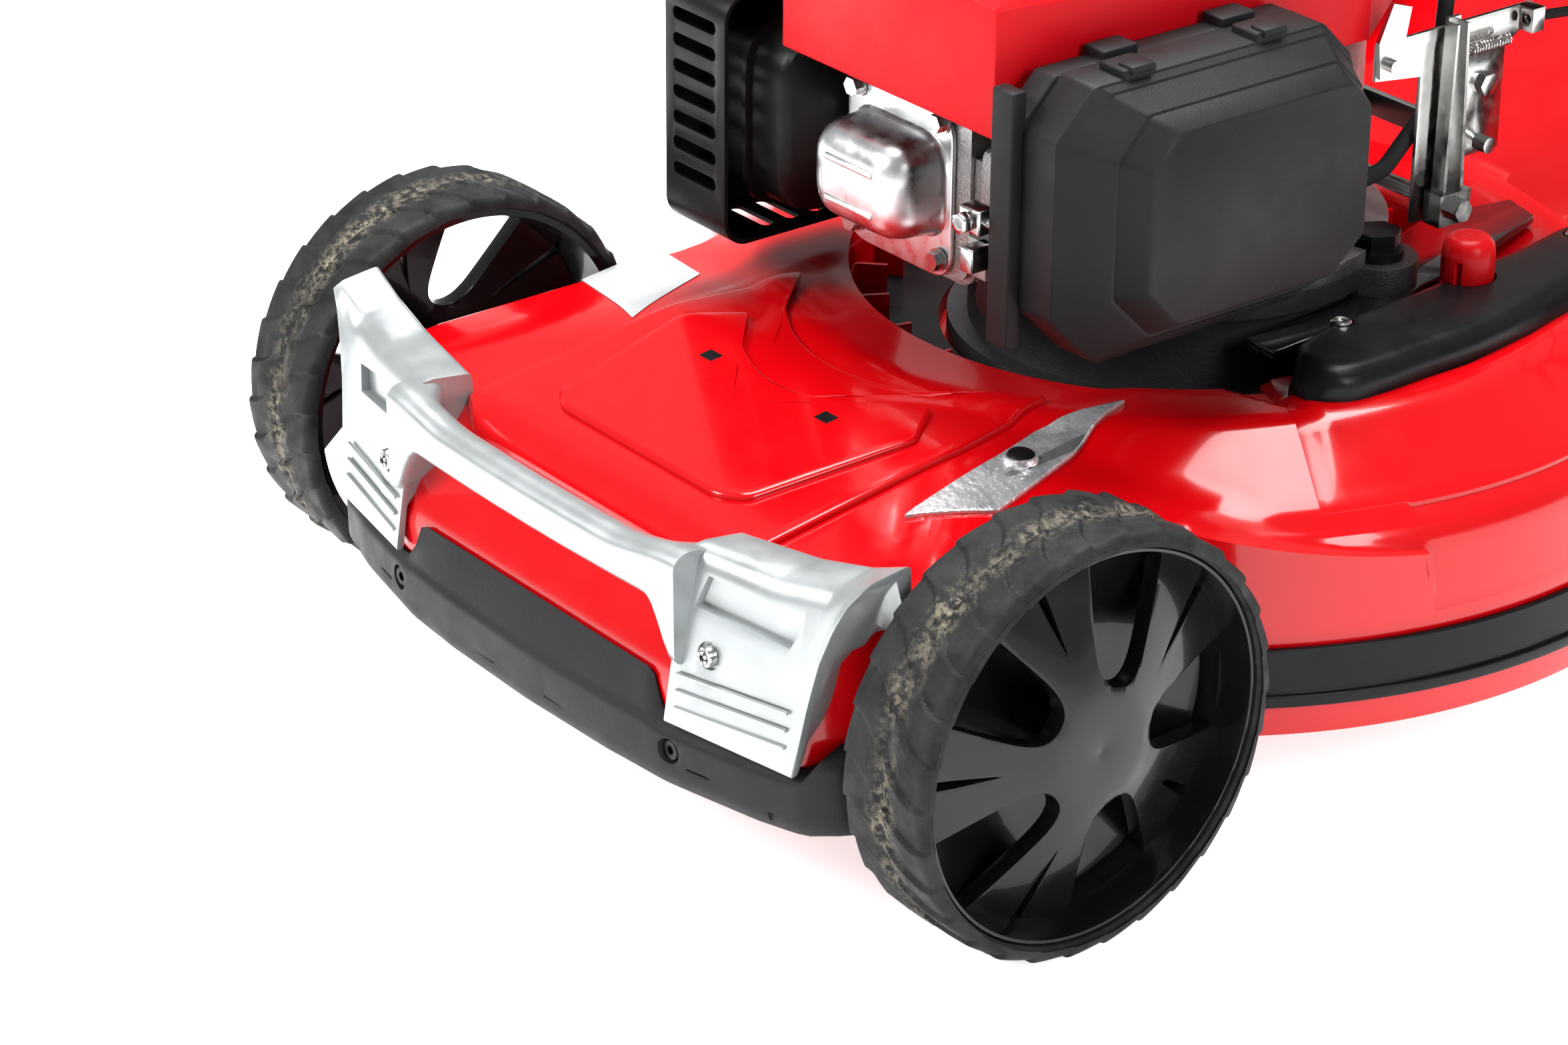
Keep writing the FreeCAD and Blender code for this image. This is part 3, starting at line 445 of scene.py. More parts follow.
def repeatTree(name, axis):
    tree = bpy.data.node_groups.new(name, "GeometryNodeTree")
    tree.interface.new_socket("Geometry", in_out="INPUT", socket_type="NodeSocketGeometry")
    tree.interface.new_socket("Count", in_out="INPUT", socket_type="NodeSocketInt")
    tree.interface.new_socket("Step angle", in_out="INPUT", socket_type="NodeSocketFloat")
    tree.interface.new_socket("Step", in_out="INPUT", socket_type="NodeSocketVector")
    tree.interface.new_socket("Pivot", in_out="INPUT", socket_type="NodeSocketVector")
    tree.interface.new_socket("Material", in_out="INPUT", socket_type="NodeSocketMaterial")
    tree.interface.new_socket("Geometry", in_out="OUTPUT", socket_type="NodeSocketGeometry")
    given = tree.nodes.new("NodeGroupInput")
    result = tree.nodes.new("NodeGroupOutput")
    instance = tree.nodes.new("GeometryNodeGeometryToInstance")
    copies = tree.nodes.new("GeometryNodeDuplicateElements")
    copies.domain = "INSTANCE"
    angle = tree.nodes.new("ShaderNodeMath")
    angle.operation = "MULTIPLY"
    turn = tree.nodes.new("ShaderNodeCombineXYZ")
    rotate = tree.nodes.new("GeometryNodeRotateInstances")
    rotate.inputs["Local Space"].default_value = False
    shift = tree.nodes.new("ShaderNodeVectorMath")
    shift.operation = "SCALE"
    move = tree.nodes.new("GeometryNodeTranslateInstances")
    move.inputs["Local Space"].default_value = False
    realize = tree.nodes.new("GeometryNodeRealizeInstances")
    paint = tree.nodes.new("GeometryNodeSetMaterial")
    link = tree.links.new
    link(given.outputs["Geometry"], instance.inputs[0])
    link(instance.outputs[0], copies.inputs["Geometry"])
    link(given.outputs["Count"], copies.inputs["Amount"])
    link(copies.outputs["Duplicate Index"], angle.inputs[0])
    link(given.outputs["Step angle"], angle.inputs[1])
    link(angle.outputs[0], turn.inputs["XYZ".index(axis)])
    link(copies.outputs["Geometry"], rotate.inputs["Instances"])
    link(turn.outputs[0], rotate.inputs["Rotation"])
    link(given.outputs["Pivot"], rotate.inputs["Pivot Point"])
    link(given.outputs["Step"], shift.inputs[0])
    link(copies.outputs["Duplicate Index"], shift.inputs["Scale"])
    link(rotate.outputs["Instances"], move.inputs["Instances"])
    link(shift.outputs[0], move.inputs["Translation"])
    link(move.outputs["Instances"], realize.inputs[0])
    link(realize.outputs[0], paint.inputs["Geometry"])
    link(given.outputs["Material"], paint.inputs["Material"])
    link(paint.outputs[0], result.inputs[0])
    return tree


repeatTrees = {axis: repeatTree("repeatAbout" + axis, axis) for axis in "XYZ"}


def repeated(mesh, material, count, stepAngle=0.0, pivot=Vector((0, 0, 0)), axis="X",
             step=Vector((0, 0, 0))):
    helper = bpy.data.objects.new("repeat", mesh)
    bpy.context.scene.collection.objects.link(helper)
    tree = repeatTrees[axis]
    modifier = helper.modifiers.new("repeat", "NODES")
    modifier.node_group = tree
    values = {"Count": count, "Step angle": stepAngle, "Step": step, "Pivot": pivot, "Material": material}
    for item in tree.interface.items_tree:
        if item.in_out == "INPUT" and item.name in values:
            modifier[item.identifier] = values[item.name]
    return evaluated(helper)


print("makers ready")


# tyres: two rows of overlapping scales that point opposite ways

def tyreMesh(centre, radius, width, outward, scales, bore):
    tread = {"steps": scales * 18, "across": 52, "lug": 2.4, "shoulder": 5.0}
    half = width / 2
    top = radius - tread["lug"] * 0.9
    wall = [(-half + 3.0, bore), (-half + 1.6, bore + 1.2), (-half + 1.4, bore + 2.6),
            (-half + 0.6, bore + 3.4), (-half + 0.4, radius - 6.0)]
    rings = []
    for i in range(tread["steps"]):
        turn = 2 * math.pi * i / tread["steps"]
        ring = list(wall)
        for k in range(tread["across"] + 1):
            u = -1 + 2 * k / tread["across"]
            side = 1 if u > 0 else -1
            edge = half - abs(u) * half
            short = max(0.0, tread["shoulder"] - edge)
            drop = tread["shoulder"] - math.sqrt(max(0.0, tread["shoulder"] ** 2 - short ** 2))
            lean = 1 - (1 - min(1.0, abs(u) * 1.05)) ** 2.4
            phase = (side * turn / (2 * math.pi) * scales + (0.1 if side > 0 else 0.45) - 0.92 * lean) % 1.0
            rise = smooth(0.0, 0.09, phase) * (1 - 0.9 * phase ** 0.9)
            seam = smooth(0.02, 0.10, abs(u))
            height = tread["lug"] * rise * (0.2 + 0.8 * seam) * (0.3 + 0.7 * smooth(0.0, 0.10, 1 - abs(u)))
            ring.append((u * half, top - 1.0 * u * u + height - drop))
        ring += [(-w, r) for w, r in reversed(wall)]
        rings.append([centre + Vector((outward * w * mm, r * math.cos(turn) * mm, r * math.sin(turn) * mm))
                      for w, r in ring])
    return loft("tyre", rings, closedAlong=True)


# rims: a deep barrel closed by a coned disc with five flared spokes

def rimMesh(centre, radius, width, outward):
    rim = {"outer": radius - 9.0, "lip": 4.0, "depth": 17.0, "thick": 9.0, "hub": 0.26, "turn": 35.0}
    outer = rim["outer"]
    reach = outer * 0.945
    half = width / 2
    lip = half - rim["lip"]
    barrel = turned("barrel", [(outward * a, r) for a, r in (
        (-half + 3.0, outer), (lip - 0.8, outer), (lip, outer - 0.9), (lip - 0.2, outer - 2.2),
        (lip - 3.0, outer - 3.0), (lip - 12.0, outer - 3.9), (lip - 18.0, outer - 5.2),
        (lip - 23.0, outer - 8.4), (lip - 27.0, outer - 8.4), (-half + 6.0, outer - 4.0),
        (-half + 3.0, outer - 3.4))], centre, "X", 144)
    cone = []
    for share in (0.0, 0.12, rim["hub"], 0.34, 0.45, 0.58, 0.72, 0.86, 1.0):
        slope = max(0.0, share - rim["hub"]) / (1 - rim["hub"])
        cone.append((half - 0.6 - (rim["depth"] + rim["lip"] - 1.0) * slope ** 1.08,
                     max(0.05, share * reach)))
    profile = cone + [(a - rim["thick"], r) for a, r in reversed(cone)]
    disc = turned("disc", [(outward * a, r) for a, r in profile], centre, "X", 144)
    # each window and each slit is symmetric: share of the reach, then degrees or mm to the side
    windowSide = [(1.02, 15.0), (0.85, 16.0), (0.65, 17.5), (0.50, 19.0), (0.41, 18.0), (0.345, 12.0)]
    slitSide = [(1.02, 2.6), (0.80, 1.9), (0.60, 0.5)]
    cutters = []
    for n in range(5):
        middle = math.radians(rim["turn"] + 36 + 72 * n)
        window = []
        for share, spread in windowSide + [(0.325, 0.0)] + [(a, -b) for a, b in reversed(windowSide)]:
            angle = middle + math.radians(spread)
            window.append((reach * share * math.cos(angle), reach * share * math.sin(angle)))
        cutters.append(roundCorners(window, 4, 3))
        spoke = math.radians(rim["turn"] + 72 * n)
        slit = []
        for share, across in slitSide + [(0.56, 0.0)] + [(a, -b) for a, b in reversed(slitSide)]:
            slit.append((reach * share * math.cos(spoke) - across * math.sin(spoke),
                         reach * share * math.sin(spoke) + across * math.cos(spoke)))
        cutters.append(slit)
    tools = []
    for outline in cutters:
        ends = [[centre + Vector((outward * a * mm, u * mm, v * mm)) for u, v in outline]
                for a in (half + 4, -half)]
        tools.append(loft("tool", ends))
    disc = bevelled(cut(disc, *tools), 0.9, 2, 40)
    hub = turned("hub", [(outward * a, r) for a, r in (
        (-half + 6, 8.2), (half - 12, 8.2), (half - 12, 17.0), (-half + 6, 17.0))], centre, "X", 48)
    # painted shade: a dark closed disc behind the spoke windows, on the right-hand wheels only; it stands
    # for the shadow under the deck seen through the windows, and partly for a guessed inner wall of the
    # barrel
    dustAndShade = turned("dustAndShade", [(outward * a, r) for a, r in (
        (lip - 26, reach - 3), (-half + 16, 50), (-half + 14, 17), (-half + 11.5, 17), (-half + 13.5, 51.5),
        (lip - 28.5, reach - 1))], centre, "X", 96)
    return joined([barrel, disc, hub, dustAndShade] if outward > 0 else [barrel, disc, hub], "rim")


wheelLook = {"fr": (1, 30), "fl": (-1, 30), "rr": (1, 36), "rl": (-1, 36)}
for corner, (outward, scales) in wheelLook.items():
    low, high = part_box("wheel_tyre_" + corner)
    middle = (low + high) / 2
    radius = (high.z - low.z) / 2 / mm
    width = (high.x - low.x) / mm
    addPiece("tyre_" + corner, tyreMesh(middle, radius, width, outward, scales, radius - 8.8), tyreRubber,
             "wheel_" + corner, "tyre_rubber", "wheel_tyre_" + corner)
    addPiece("rim_" + corner, rimMesh(middle, radius, width, outward), rimBlack,
             "wheel_" + corner, "gloss_black", "wheel_rim_" + corner)

print("wheels ready")


# deck: a pressed shell, worked out as heights around the engine shaft

deckShape = {"rays": 720, "bowlFloor": 128.0}
noseSide = [(104, -108), (150, -98), (170, -90), (182, -70), (187, -38), (189, 55), (197, 110), (226, 201),
            (226, 260)]
noseOutline = noseSide + [(-x, y) for x, y in reversed(noseSide)]
tailOutline = [(-182, 300), (182, 300), (182, 667), (-182, 667)]


def rayReach(outline, angle):
    # how far a ray from the engine shaft goes before it leaves the outline
    direction = Vector((math.cos(angle), math.sin(angle)))
    best = 0.0
    for i in range(len(outline)):
        a = Vector(outline[i - 1]) - Vector((0, shaftY))
        b = Vector(outline[i]) - Vector((0, shaftY))
        across = b - a
        det = direction.x * -across.y + direction.y * across.x
        if abs(det) < 1e-9:
            continue
        t = (a.x * -across.y + a.y * across.x) / det
        s = (direction.x * a.y - direction.y * a.x) / det
        if t > 0 and -1e-6 <= s <= 1 + 1e-6:
            best = max(best, t)
    return best


def noseHeight(x, y):
    # long profile and cross profile of the nose
    lengthwise = along([(-108, 104), (-100, 117), (-72, 150), (44, 165.5), (120, 167.5), (260, 168)], y)
    across = along([(0, 169), (104, 168), (112, 164.5), (188, 150), (226, 136), (270, 120)], abs(x))
    return softMin(lengthwise, across, 5.0)


def drumHeight(r):
    return along([(150, 166.5), (192, 170), (200, 169), (246, 142.5), (250.5, 139.5), (253.5, 133),
                  (257.6, 100), (258.5, 96)], r)


def tailHeight(y):
    return softMin(along([(460, 160), (474, 166), (600, 260), (668, 261)], y), 262, 4.0)


def deckHeight(x, y):
    r = math.hypot(x, y - shaftY)
    height = drumHeight(r) if r < 262 else -1000
    # the nose ends at a slanting line behind each shoulder
    behind = y - along([(0, 168), (110, 181), (226, 201), (300, 210)], abs(x))
    lift = 3.4 * smooth(-95, -4, behind) * smooth(88, 112, abs(x)) * (1 - smooth(240, 249, r))
    if behind < 0.0:
        height = softMax(height, noseHeight(x, y), 3.0) + lift
    elif behind < 1.6 and r < 262:
        height = mix(softMax(height, noseHeight(x, y), 3.0) + lift, height, behind / 1.6)
    if y > 440 and abs(x) <= 182.5:
        height = max(height, tailHeight(y))
    return height


def deckMesh():
    shape = deckShape
    rings = []
    for i in range(shape["rays"]):
        angle = 2 * math.pi * (i + 0.5) / shape["rays"]
        ux, uy = math.cos(angle), math.sin(angle)
        nose, tail = rayReach(noseOutline, angle), rayReach(tailOutline, angle)
        reach = max(258.0, nose if uy < 0.1 else 0.0, tail if uy > 0 else 0.0)
        isDrum = reach <= 258.01
        ring = [(34.0, shape["bowlFloor"]), (146.0, shape["bowlFloor"]), (150.0, shape["bowlFloor"] + 1.0),
                (152.0, shape["bowlFloor"] + 4.0), (153.0, 160.0), (154.0, 164.0)]
        start = 156.5
        count = 58
        for k in range(count + 1):
            t = k / count
            r = start + (reach - start) * (1 - (1 - t) ** 1.6)
            x, y = r * ux, shaftY + r * uy
            edge = 7.0
            gone = reach - r
            height = deckHeight(x * 0.9999, y)
            if not isDrum:
                short = max(0.0, edge - gone)
                height -= edge - math.sqrt(max(0.0, edge ** 2 - short ** 2))
            ring.append((r, height))
        low = mix(45.0, 58.0, smooth(258, 270, nose)) if uy < 0 else mix(45.0, 62.0, smooth(258, 275, tail))
        top = ring[-1][1]
        for t in (0.15, 0.4, 0.7, 0.93, 1.0):
            ring.append((reach + (0.0 if t < 1 else -0.8), mix(top, low, t)))
        rings.append([at(r * ux, shaftY + r * uy, z) for r, z in ring])
    count = len(rings[0])
    points = [p for ring in rings for p in ring]
    faces = []
    for i in range(len(rings)):
        j = (i + 1) % len(rings)
        for k in range(count - 1):
            faces.append((i * count + k, i * count + k + 1, j * count + k + 1, j * count + k))
    mesh = bpy.data.meshes.new("deck")
    mesh.from_pydata(points, [], faces)
    fixNormals(mesh)
    return modified(mesh, "SOLIDIFY", thickness=2.6 * mm, offset=-1.0)


deck = deckMesh()
deck = cut(deck, boxMesh(-118, 118, 640, 690, 154, 250))
duct = [boxMesh(-121, -118.5, 500, 667, 150, 256), boxMesh(118.5, 121, 500, 667, 150, 256),
        boxMesh(-121, 121, 500, 667, 150, 153), boxMesh(-121, 121, 612, 667, 252, 255)]
baffle = turned("baffle", [(46, 252), (46, 255), (112, 255), (112, 252)], at(0, shaftY, 0), "Z", 160)
lugs = [boxMesh(134, 142, 664, 682, 250, 272), boxMesh(-142, -134, 664, 682, 250, 272)]
addPiece("deck", joined([deck, *duct, baffle, *lugs]), redPaint, "chassis", "red_paint", "deck_shell")
ribPlate = boxMesh(-0.9, 0.9, 270 - 153, 270 - 138, 128, 158)
addPiece("bowl_ribs", repeated(ribPlate, redPaint, 24, math.radians(15), at(0, shaftY, 0), "Z"), redPaint,
         "chassis", "red_paint")

print("deck ready")


def draped(name, outline, lift, thickness, edge, steps=5):
    # a thin cover laid over the deck: outline in plan, rounded at its border
    middle = sum((Vector(p) for p in outline), Vector((0, 0))) / len(outline)
    # each level has its share of the way out, its step back from the border and its rise
    levels = [(share, 0.0, lift) for share in (0.02, 0.2, 0.4, 0.6, 0.75, 0.86, 0.93)]
    for k in range(steps + 1):
        turn = math.pi / 2 * k / steps
        levels.append((1.0, edge * (1 - math.sin(turn)), lift - edge * (1 - math.cos(turn)) * 0.9))
    rings = []
    for share, back, rise in levels:
        ring = []
        for corner in (Vector(p) for p in outline):
            spot = middle + (corner - middle) * share + (middle - corner).normalized() * back
            ring.append(at(spot.x, spot.y, deckHeight(spot.x, spot.y) + rise))
        rings.append(ring)
    rings.append([at(x, y, deckHeight(x, y) + lift - thickness) for x, y in outline])
    return loft(name, rings)


def denser(outline, step=4.0):
    # extra points along each side of an outline
    result = []
    for i, point in enumerate(outline):
        a, b = Vector(outline[i - 1]), Vector(point)
        count = max(1, int((b - a).length / step))
        result += [tuple(a.lerp(b, k / count)) for k in range(count)]
    return result


def noseParts():
    look = {"panelLift": 3.2, "badgeLift": 6.2, "slot": 9.0}
    arc = [(95 * math.sin(math.radians(t)) * 1.06, 150 - 95 * math.cos(math.radians(t)))
           for t in range(64, -65, -8)]
    panel = roundCorners([(-90, -80), (90, -80), (106, -72), (104, 48)] + [(x, y + 6) for x, y in arc] +
                         [(-104, 48), (-106, -72)], 5, 3)
    panel = denser(panel)
    addPiece("nose_panel", draped("panel", panel, look["panelLift"], 4, 2.4), redPaint, "chassis",
             "red_paint")
    shield = [(-58, -52), (58, -52), (72, -44), (88, 38)]
    shield += [(x, y - 12) for x, y in [(84 * math.sin(math.radians(t)),
                                         128 - 88 * math.cos(math.radians(t)))
                                       for t in range(54, -55, -9)]]
    shield += [(-88, 38), (-72, -44)]
    shield = denser(roundCorners(shield, 4, 3), 3.0)
    addPiece("badge", draped("badge", shield, look["badgeLift"], 4, 2.6), redPaint, "chassis",
             "red_plastic", "badge_plate")
    slots = []
    for x in (-43, 43):
        h = look["slot"] / 2
        corners = denser([(x - h, 19), (x + h, 19), (x + h, 26), (x - h, 26)], 3)
        slots.append(draped("slot", corners, look["badgeLift"] + 0.25, 1, 0.2))
    addPiece("badge_slots", joined(slots), satinBlack, "chassis", "gloss_black")
    glass = denser(roundCorners([(129, -3), (108, 91), (116, 138), (148, 35)], 2.5, 3), 3.0)
    lens = draped("lens", glass, 2.2, 2, 1.0)
    backing = draped("backing", glass, 0.9, 1.5, 0.3)
    boss = rodMesh(at(122, 70, 160), at(122.6, 70, 167.8), 6.2, 40)
    boss = bevelled(boss, 0.8)
    rimRing = turned("ring", [(0, 6.2), (2.6, 6.2), (2.9, 7.0), (2.6, 8.0), (0, 8.4)],
                     at(122.2, 70, 164.0), "Z", 48)
    addPiece("lens_right", joined([lens, rimRing]), lensSilver, "chassis", "clear_lens", "deck_lens")
    addPiece("lens_back", backing, reflector, "chassis", "clear_lens")
    addPiece("lens_screw", boss, satinBlack, "chassis", "gloss_black")
    corners = [(-186, 51), (-111, 27), (-141, 90), (-216, 114)]
    across = 12
    points, faces = [], []
    for level in (0.35, 0.05):
        for i in range(across + 1):
            for k in range(across + 1):
                a = Vector(corners[0]).lerp(Vector(corners[1]), i / across)
                b = Vector(corners[3]).lerp(Vector(corners[2]), i / across)
                p = a.lerp(b, k / across)
                points.append(at(p.x, p.y, deckHeight(p.x, p.y) + level))
    n = across + 1
    for i in range(across):
        for k in range(across):
            faces.append((i * n + k, (i + 1) * n + k, (i + 1) * n + k + 1, i * n + k + 1))
    mesh = bpy.data.meshes.new("label")
    mesh.from_pydata(points[:n * n], [], faces)
    addPiece("blank_label", modified(fixNormals(mesh), "SOLIDIFY", thickness=0.2 * mm, offset=0), labelGrey,
             "chassis", "silver_plastic")


def faceY(x, z):
    # front face of the silver bracket
    return -114.5 + (abs(x) - 104) * 0.222 + (z - 85) * 0.10


def handleParts():
    look = {"bar": (-116.5, -99.0, 138.0, 161.0), "inner": 104.0, "ribs": (93, 101, 109)}
    rings = []
    for i in range(57):
        x = mix(-110, 110, i / 56)
        y0, y1, z0, z1 = look["bar"]
        flare = smooth(86, 108, abs(x)) ** 1.6
        bow = 3.2 * (x / 105) ** 2
        y0, y1 = y0 + bow, y1 + bow + 12 * flare
        z0, z1 = z0 - 26 * flare, z1 + 5.5 * smooth(60, 108, abs(x))
        ring = roundCorners([(y0, z0 + 1), (y0 - 0.5, z1 - 4), (y0 + 6, z1), (y1, z1 - 3),
                             (y1 + 1, z0 + 2)], [6, 9, 9, 7, 6], 4)
        rings.append([at(x, y, z) for y, z in ring])
    bar = loft("bar", rings)
    brackets = []
    for i in range(41):
        x = mix(look["inner"], 200.0, (i / 40) ** 0.9)
        low = along([(104, 84.5), (174, 82), (178, 112), (182, 136), (188, 155), (194, 168), (200, 176)], x)
        topFront = along([(104, 167), (150, 165), (180, 168), (200, 179)], x)
        topRear = along([(104, 163), (150, 167), (180, 174), (200, 181.5)], x)
        rear = along([(104, -70), (150, -63), (200, -57)], x)
        f0, f1 = faceY(x, low), faceY(x, topFront) + 6
        base = along([(-108, 107), (-100, 118), (-72, 150), (44, 166)], rear) - 1
        base = min(base - max(0.0, x - 150) * 0.16, topRear - 3.5)
        foot = max(low, min(106.0, topFront - 5)) if x < 176 else max(low + 1.0, base - 6)
        ring = roundCorners([(f0, low), (f0 + (f1 - f0) * 0.5, mix(low, topFront, 0.55)), (f1, topFront),
                             (rear, topRear), (rear + 1.0, base),
                             (along([(104, -107.8), (150, -97.8), (170, -89.8), (176, -84)],
                                    x) if x < 176 else rear - 8, foot), (f0 + 4.0, low + 0.6)],
                                    [1.6, 4, 9, 3, 1.5, 1.5, 1.2], 3)
        brackets.append([at(x, y, z) for y, z in ring])
    bracket = loft("bracket", brackets)
    pocket = [[at(x, faceY(x, z) + push, z) for x, z in ((112, 141), (164, 138), (169, 150), (117, 156))]
              for push in (-16, 8.5)]
    recess = rodMesh(at(123.5, -125, 121.8), at(123.5, -103.2, 121.8), 6.4, 40)
    bracket = bevelled(cut(bracket, loft("pocket", pocket), recess), 1.1, 3, 42)
    lines = []
    for z in look["ribs"]:
        line = [[at(x, faceY(x, z) + a, z + b + (x - 104) * 0.03)
                 for a, b in ((0.8, -0.9), (-0.55, -0.5), (-0.55, 0.5), (0.8, 0.9))]
                for x in (109, 125, 140, 155, 169)]
        lines.append(loft("line", line))
    side = joined([bracket, *lines])
    addPiece("front_grip", joined([bar, side, mirrored(side)]), silver, "chassis", "silver_plastic",
             "front_handle")
    head = turned("screw", [(0, 0.2), (-0.1, 2.2), (-1.2, 2.6), (-1.6, 3.4), (-1.2, 4.5), (0.2, 5.0),
                  (2.5, 5.0), (2.5, 0.2)], at(123.5, -106.0, 121.8), "Y", 40)
    lobe = rodMesh(at(123.5, -108.5, 124.2), at(123.5, -106.6, 124.2), 0.9, 12)
    star = repeated(lobe, steel, 6, math.radians(60), at(123.5, 0, 121.8), "Y")
    screw = joined([head, star])
    top = []
    for x, y in ((141, 247), (133, 411)):
        top.append(turned("screw", [(0, 0.2), (0.4, 2.0), (1.0, 2.4), (1.4, 4.0), (0.6, 5.0), (-2, 5.0),
                          (-2, 0.2)], at(x, y, 190.4), "Z", 32))
    addPiece("star_screws", joined([screw, mirrored(screw), *top]), zinc, "chassis", "zinc", "torx_screws")


def bumperPart():
    look = {"low": 51.0, "hole": 4.5}
    rings = []
    for i in range(77):
        x = mix(-191, 191, i / 76)
        d = abs(x)
        f = along([(0, -119.6), (60, -118), (98, -114.6), (150, -103.5), (176, -95.5), (186, -88),
                   (191, -80)], d)
        top = mix(103, 83.5, smooth(88, 100, d)) + 12 * smooth(174, 181, d)
        shelf = mix(82, 80, smooth(88, 100, d)) + 10 * smooth(174, 181, d)
        back = along([(0, -108.4), (104, -108.4), (150, -98.5), (170, -90.4), (181, -76), (191, -66)], d)
        back = max(back, f + 3.0)
        low = look["low"] + 3 * smooth(170, 190, d)
        ring = roundCorners([(f + 5, low), (f + 0.6, low + 7), (f, shelf - 3), (f + 2.2, shelf),
                             (back - 0.8, top), (back + 0.3, top - 1.5), (back + 0.3, low)],
                             [2, 3, 3, 2, 1, 0.6, 1.5], 3)
        rings.append([at(x, y, z) for y, z in ring])
    bumper = loft("bumper", rings)
    tools = []
    for s in (-1, 1):
        tools.append(rodMesh(at(s * 105, -130, 70), at(s * 105, -109.6, 70), look["hole"] + 1.6, 40))
        tools.append(boxMesh(s * 168 - 9, s * 168 + 9, -130, -98, 55, 60))
        tools.append(boxMesh(s * 141 - 26, s * 141 + 26, -130, -107.6, 64, 65))
    for x0, x1 in ((-58, -20), (20, 58)):
        tools.append(boxMesh(x0, x1, -130, -118.2, 62, 63))
    bumper = bevelled(cut(bumper, *tools), 0.7, 2, 45)
    addPiece("bumper", bumper, charcoal, "chassis", "black_plastic", "front_bumper")
    rims = [turned("hole", [(0, 2.2), (0, 4.4), (1.2, 5.2), (1.2, 2.2)], at(s * 105, -111.6, 70), "Y", 32)
            for s in (-1, 1)]
    addPiece("bumper_studs", joined(rims), satinBlack, "chassis", "gloss_black")


def lensMetal():
    material, tree, shader = newMaterial("lensSilver")
    cells = noiseNode(tree, 90, 3.0)
    tree.links.new(blendColor(tree, remap(tree, cells, 0, 1), (0.62, 0.63, 0.66), (0.90, 0.91, 0.92)),
                   shader.inputs["Base Color"])
    shader.inputs["Metallic"].default_value = 0.75
    shader.inputs["Roughness"].default_value = 0.17
    shader.inputs["Coat Weight"].default_value = 0.8
    bump(tree, shader, noiseNode(tree, 300, 1.0), 0.8 * mm)
    return material


lensSilver = lensMetal()
noseParts()
handleParts()
bumperPart()
print("nose ready")


# right shoulder: raised cover, finger recess, carry grip and button

def shoulderParts():
    look = {"grip": 191.0}
    def coverTop(x, y):
        r = math.hypot(x, y - shaftY)
        return along([(148, 171), (151, 174), (160, 175.5), (194, 176), (203, 173.5), (240, 149),
                      (243, 146)], r)
    rings = []
    for i in range(61):
        angle = math.radians(mix(-26, 44, i / 60))
        ux, uy = math.cos(angle), math.sin(angle)
        fade = smooth(0, 3, i) * smooth(0, 3, 60 - i)
        ring = []
        for k in range(31):
            r = mix(147.5, 242.5, k / 30)
            x, y = r * ux, shaftY + r * uy
            level = mix(deckHeight(x, y) + 0.2, coverTop(x, y), fade)
            ring.append(at(x, y, max(level, deckHeight(x, y) + 0.2)))
        ring.append(at(242.5 * ux, shaftY + 242.5 * uy, 133))
        ring.append(at(147.5 * ux, shaftY + 147.5 * uy, 158))
        rings.append(ring)
    cover = loft("cover", rings)
    finger = [[at(x, y, z) for x, y in roundCorners([(112, 214), (150, 196), (168, 204), (152, 222),
                                                     (118, 236)], 7, 3)]
              for z in (170, 190)]
    well = [[at(x, y, z) for x, y in roundCorners([(150, 196), (178, 206), (186, 236), (187, 285),
             (180, 335), (164, 390), (146, 448), (112, 448), (122, 400), (130, 350), (132, 300),
             (128, 250), (120, 214)], 5, 3)] for z in (174, 195)]
    hole = turned("hole", [(-20, 0.05), (-20, 14.2), (20, 14.2), (20, 0.05)], at(137, 333, 175), "Z", 48)
    for tool in (loft("finger", finger), loft("well", well), hole):
        cover = cut(cover, tool)
    cover = bevelled(cover, 1.4, 3, 35)
    addPiece("shoulder_cover", cover, redPaint, "chassis", "red_paint")
    route = [(164, 199), (166, 214), (163, 232), (160, 262), (159, 292), (156, 322), (151, 352),
             (145, 384), (138, 412), (130, 446)]
    halfWidth = [8, 19, 24, 26, 26.5, 25.5, 24, 21, 19, 16]
    line = smoothLine([Vector((x, y, w)) for (x, y), w in zip(route, halfWidth)], 6)
    rings = []
    for i, spot in enumerate(line):
        ahead = line[min(i + 1, len(line) - 1)] - line[max(i - 1, 0)]
        sideways = Vector((ahead.y, -ahead.x)).normalized()
        w = spot.z
        rise = look["grip"] - 9.0 * (1 - smooth(0, 4, i)) - 4.0 * smooth(len(line) - 6, len(line) - 1, i)
        section = roundCorners([(-w, 167.0), (-w, rise - 4), (-w + 5, rise - 0.4), (0, rise + 0.4),
                                (w - 6, rise - 0.6), (w, rise - 6), (w, 167.0)], [1, 4, 6, 8, 6, 5, 1], 3)
        rings.append([at(spot.x + sideways.x * a, spot.y + sideways.y * a, z) for a, z in section])
    grip = loft("grip", rings)
    grip = bevelled(cut(grip, rodMesh(at(137, 333, 150), at(137, 333, 220), 14.0, 48),
                        rodMesh(at(141, 247, 188.8), at(141, 247, 205), 6.0, 32),
                        rodMesh(at(133, 411, 186.5), at(133, 411, 205), 6.0, 32)), 0.8, 2, 45)
    addPiece("grip", grip, satinBlack, "chassis", "black_plastic", "carry_grip")
    button = turned("button", [(178, 0.3), (210.5, 0.3), (211.5, 6), (210.6, 9.5), (207.5, 12.0),
                    (202, 12.8), (178, 13.0)], at(137, 333, 0), "Z", 64)
    button = cut(button, *[boxMesh(137 + a - 1.6, 137 + a + 1.6, 315, 324.5, 188, 201) for a in (-5, 5)])
    addPiece("button", bevelled(button, 0.6, 2, 40), redCap, "button", "red_plastic", "height_button")


shoulderParts()
print("shoulder ready")


# engine side

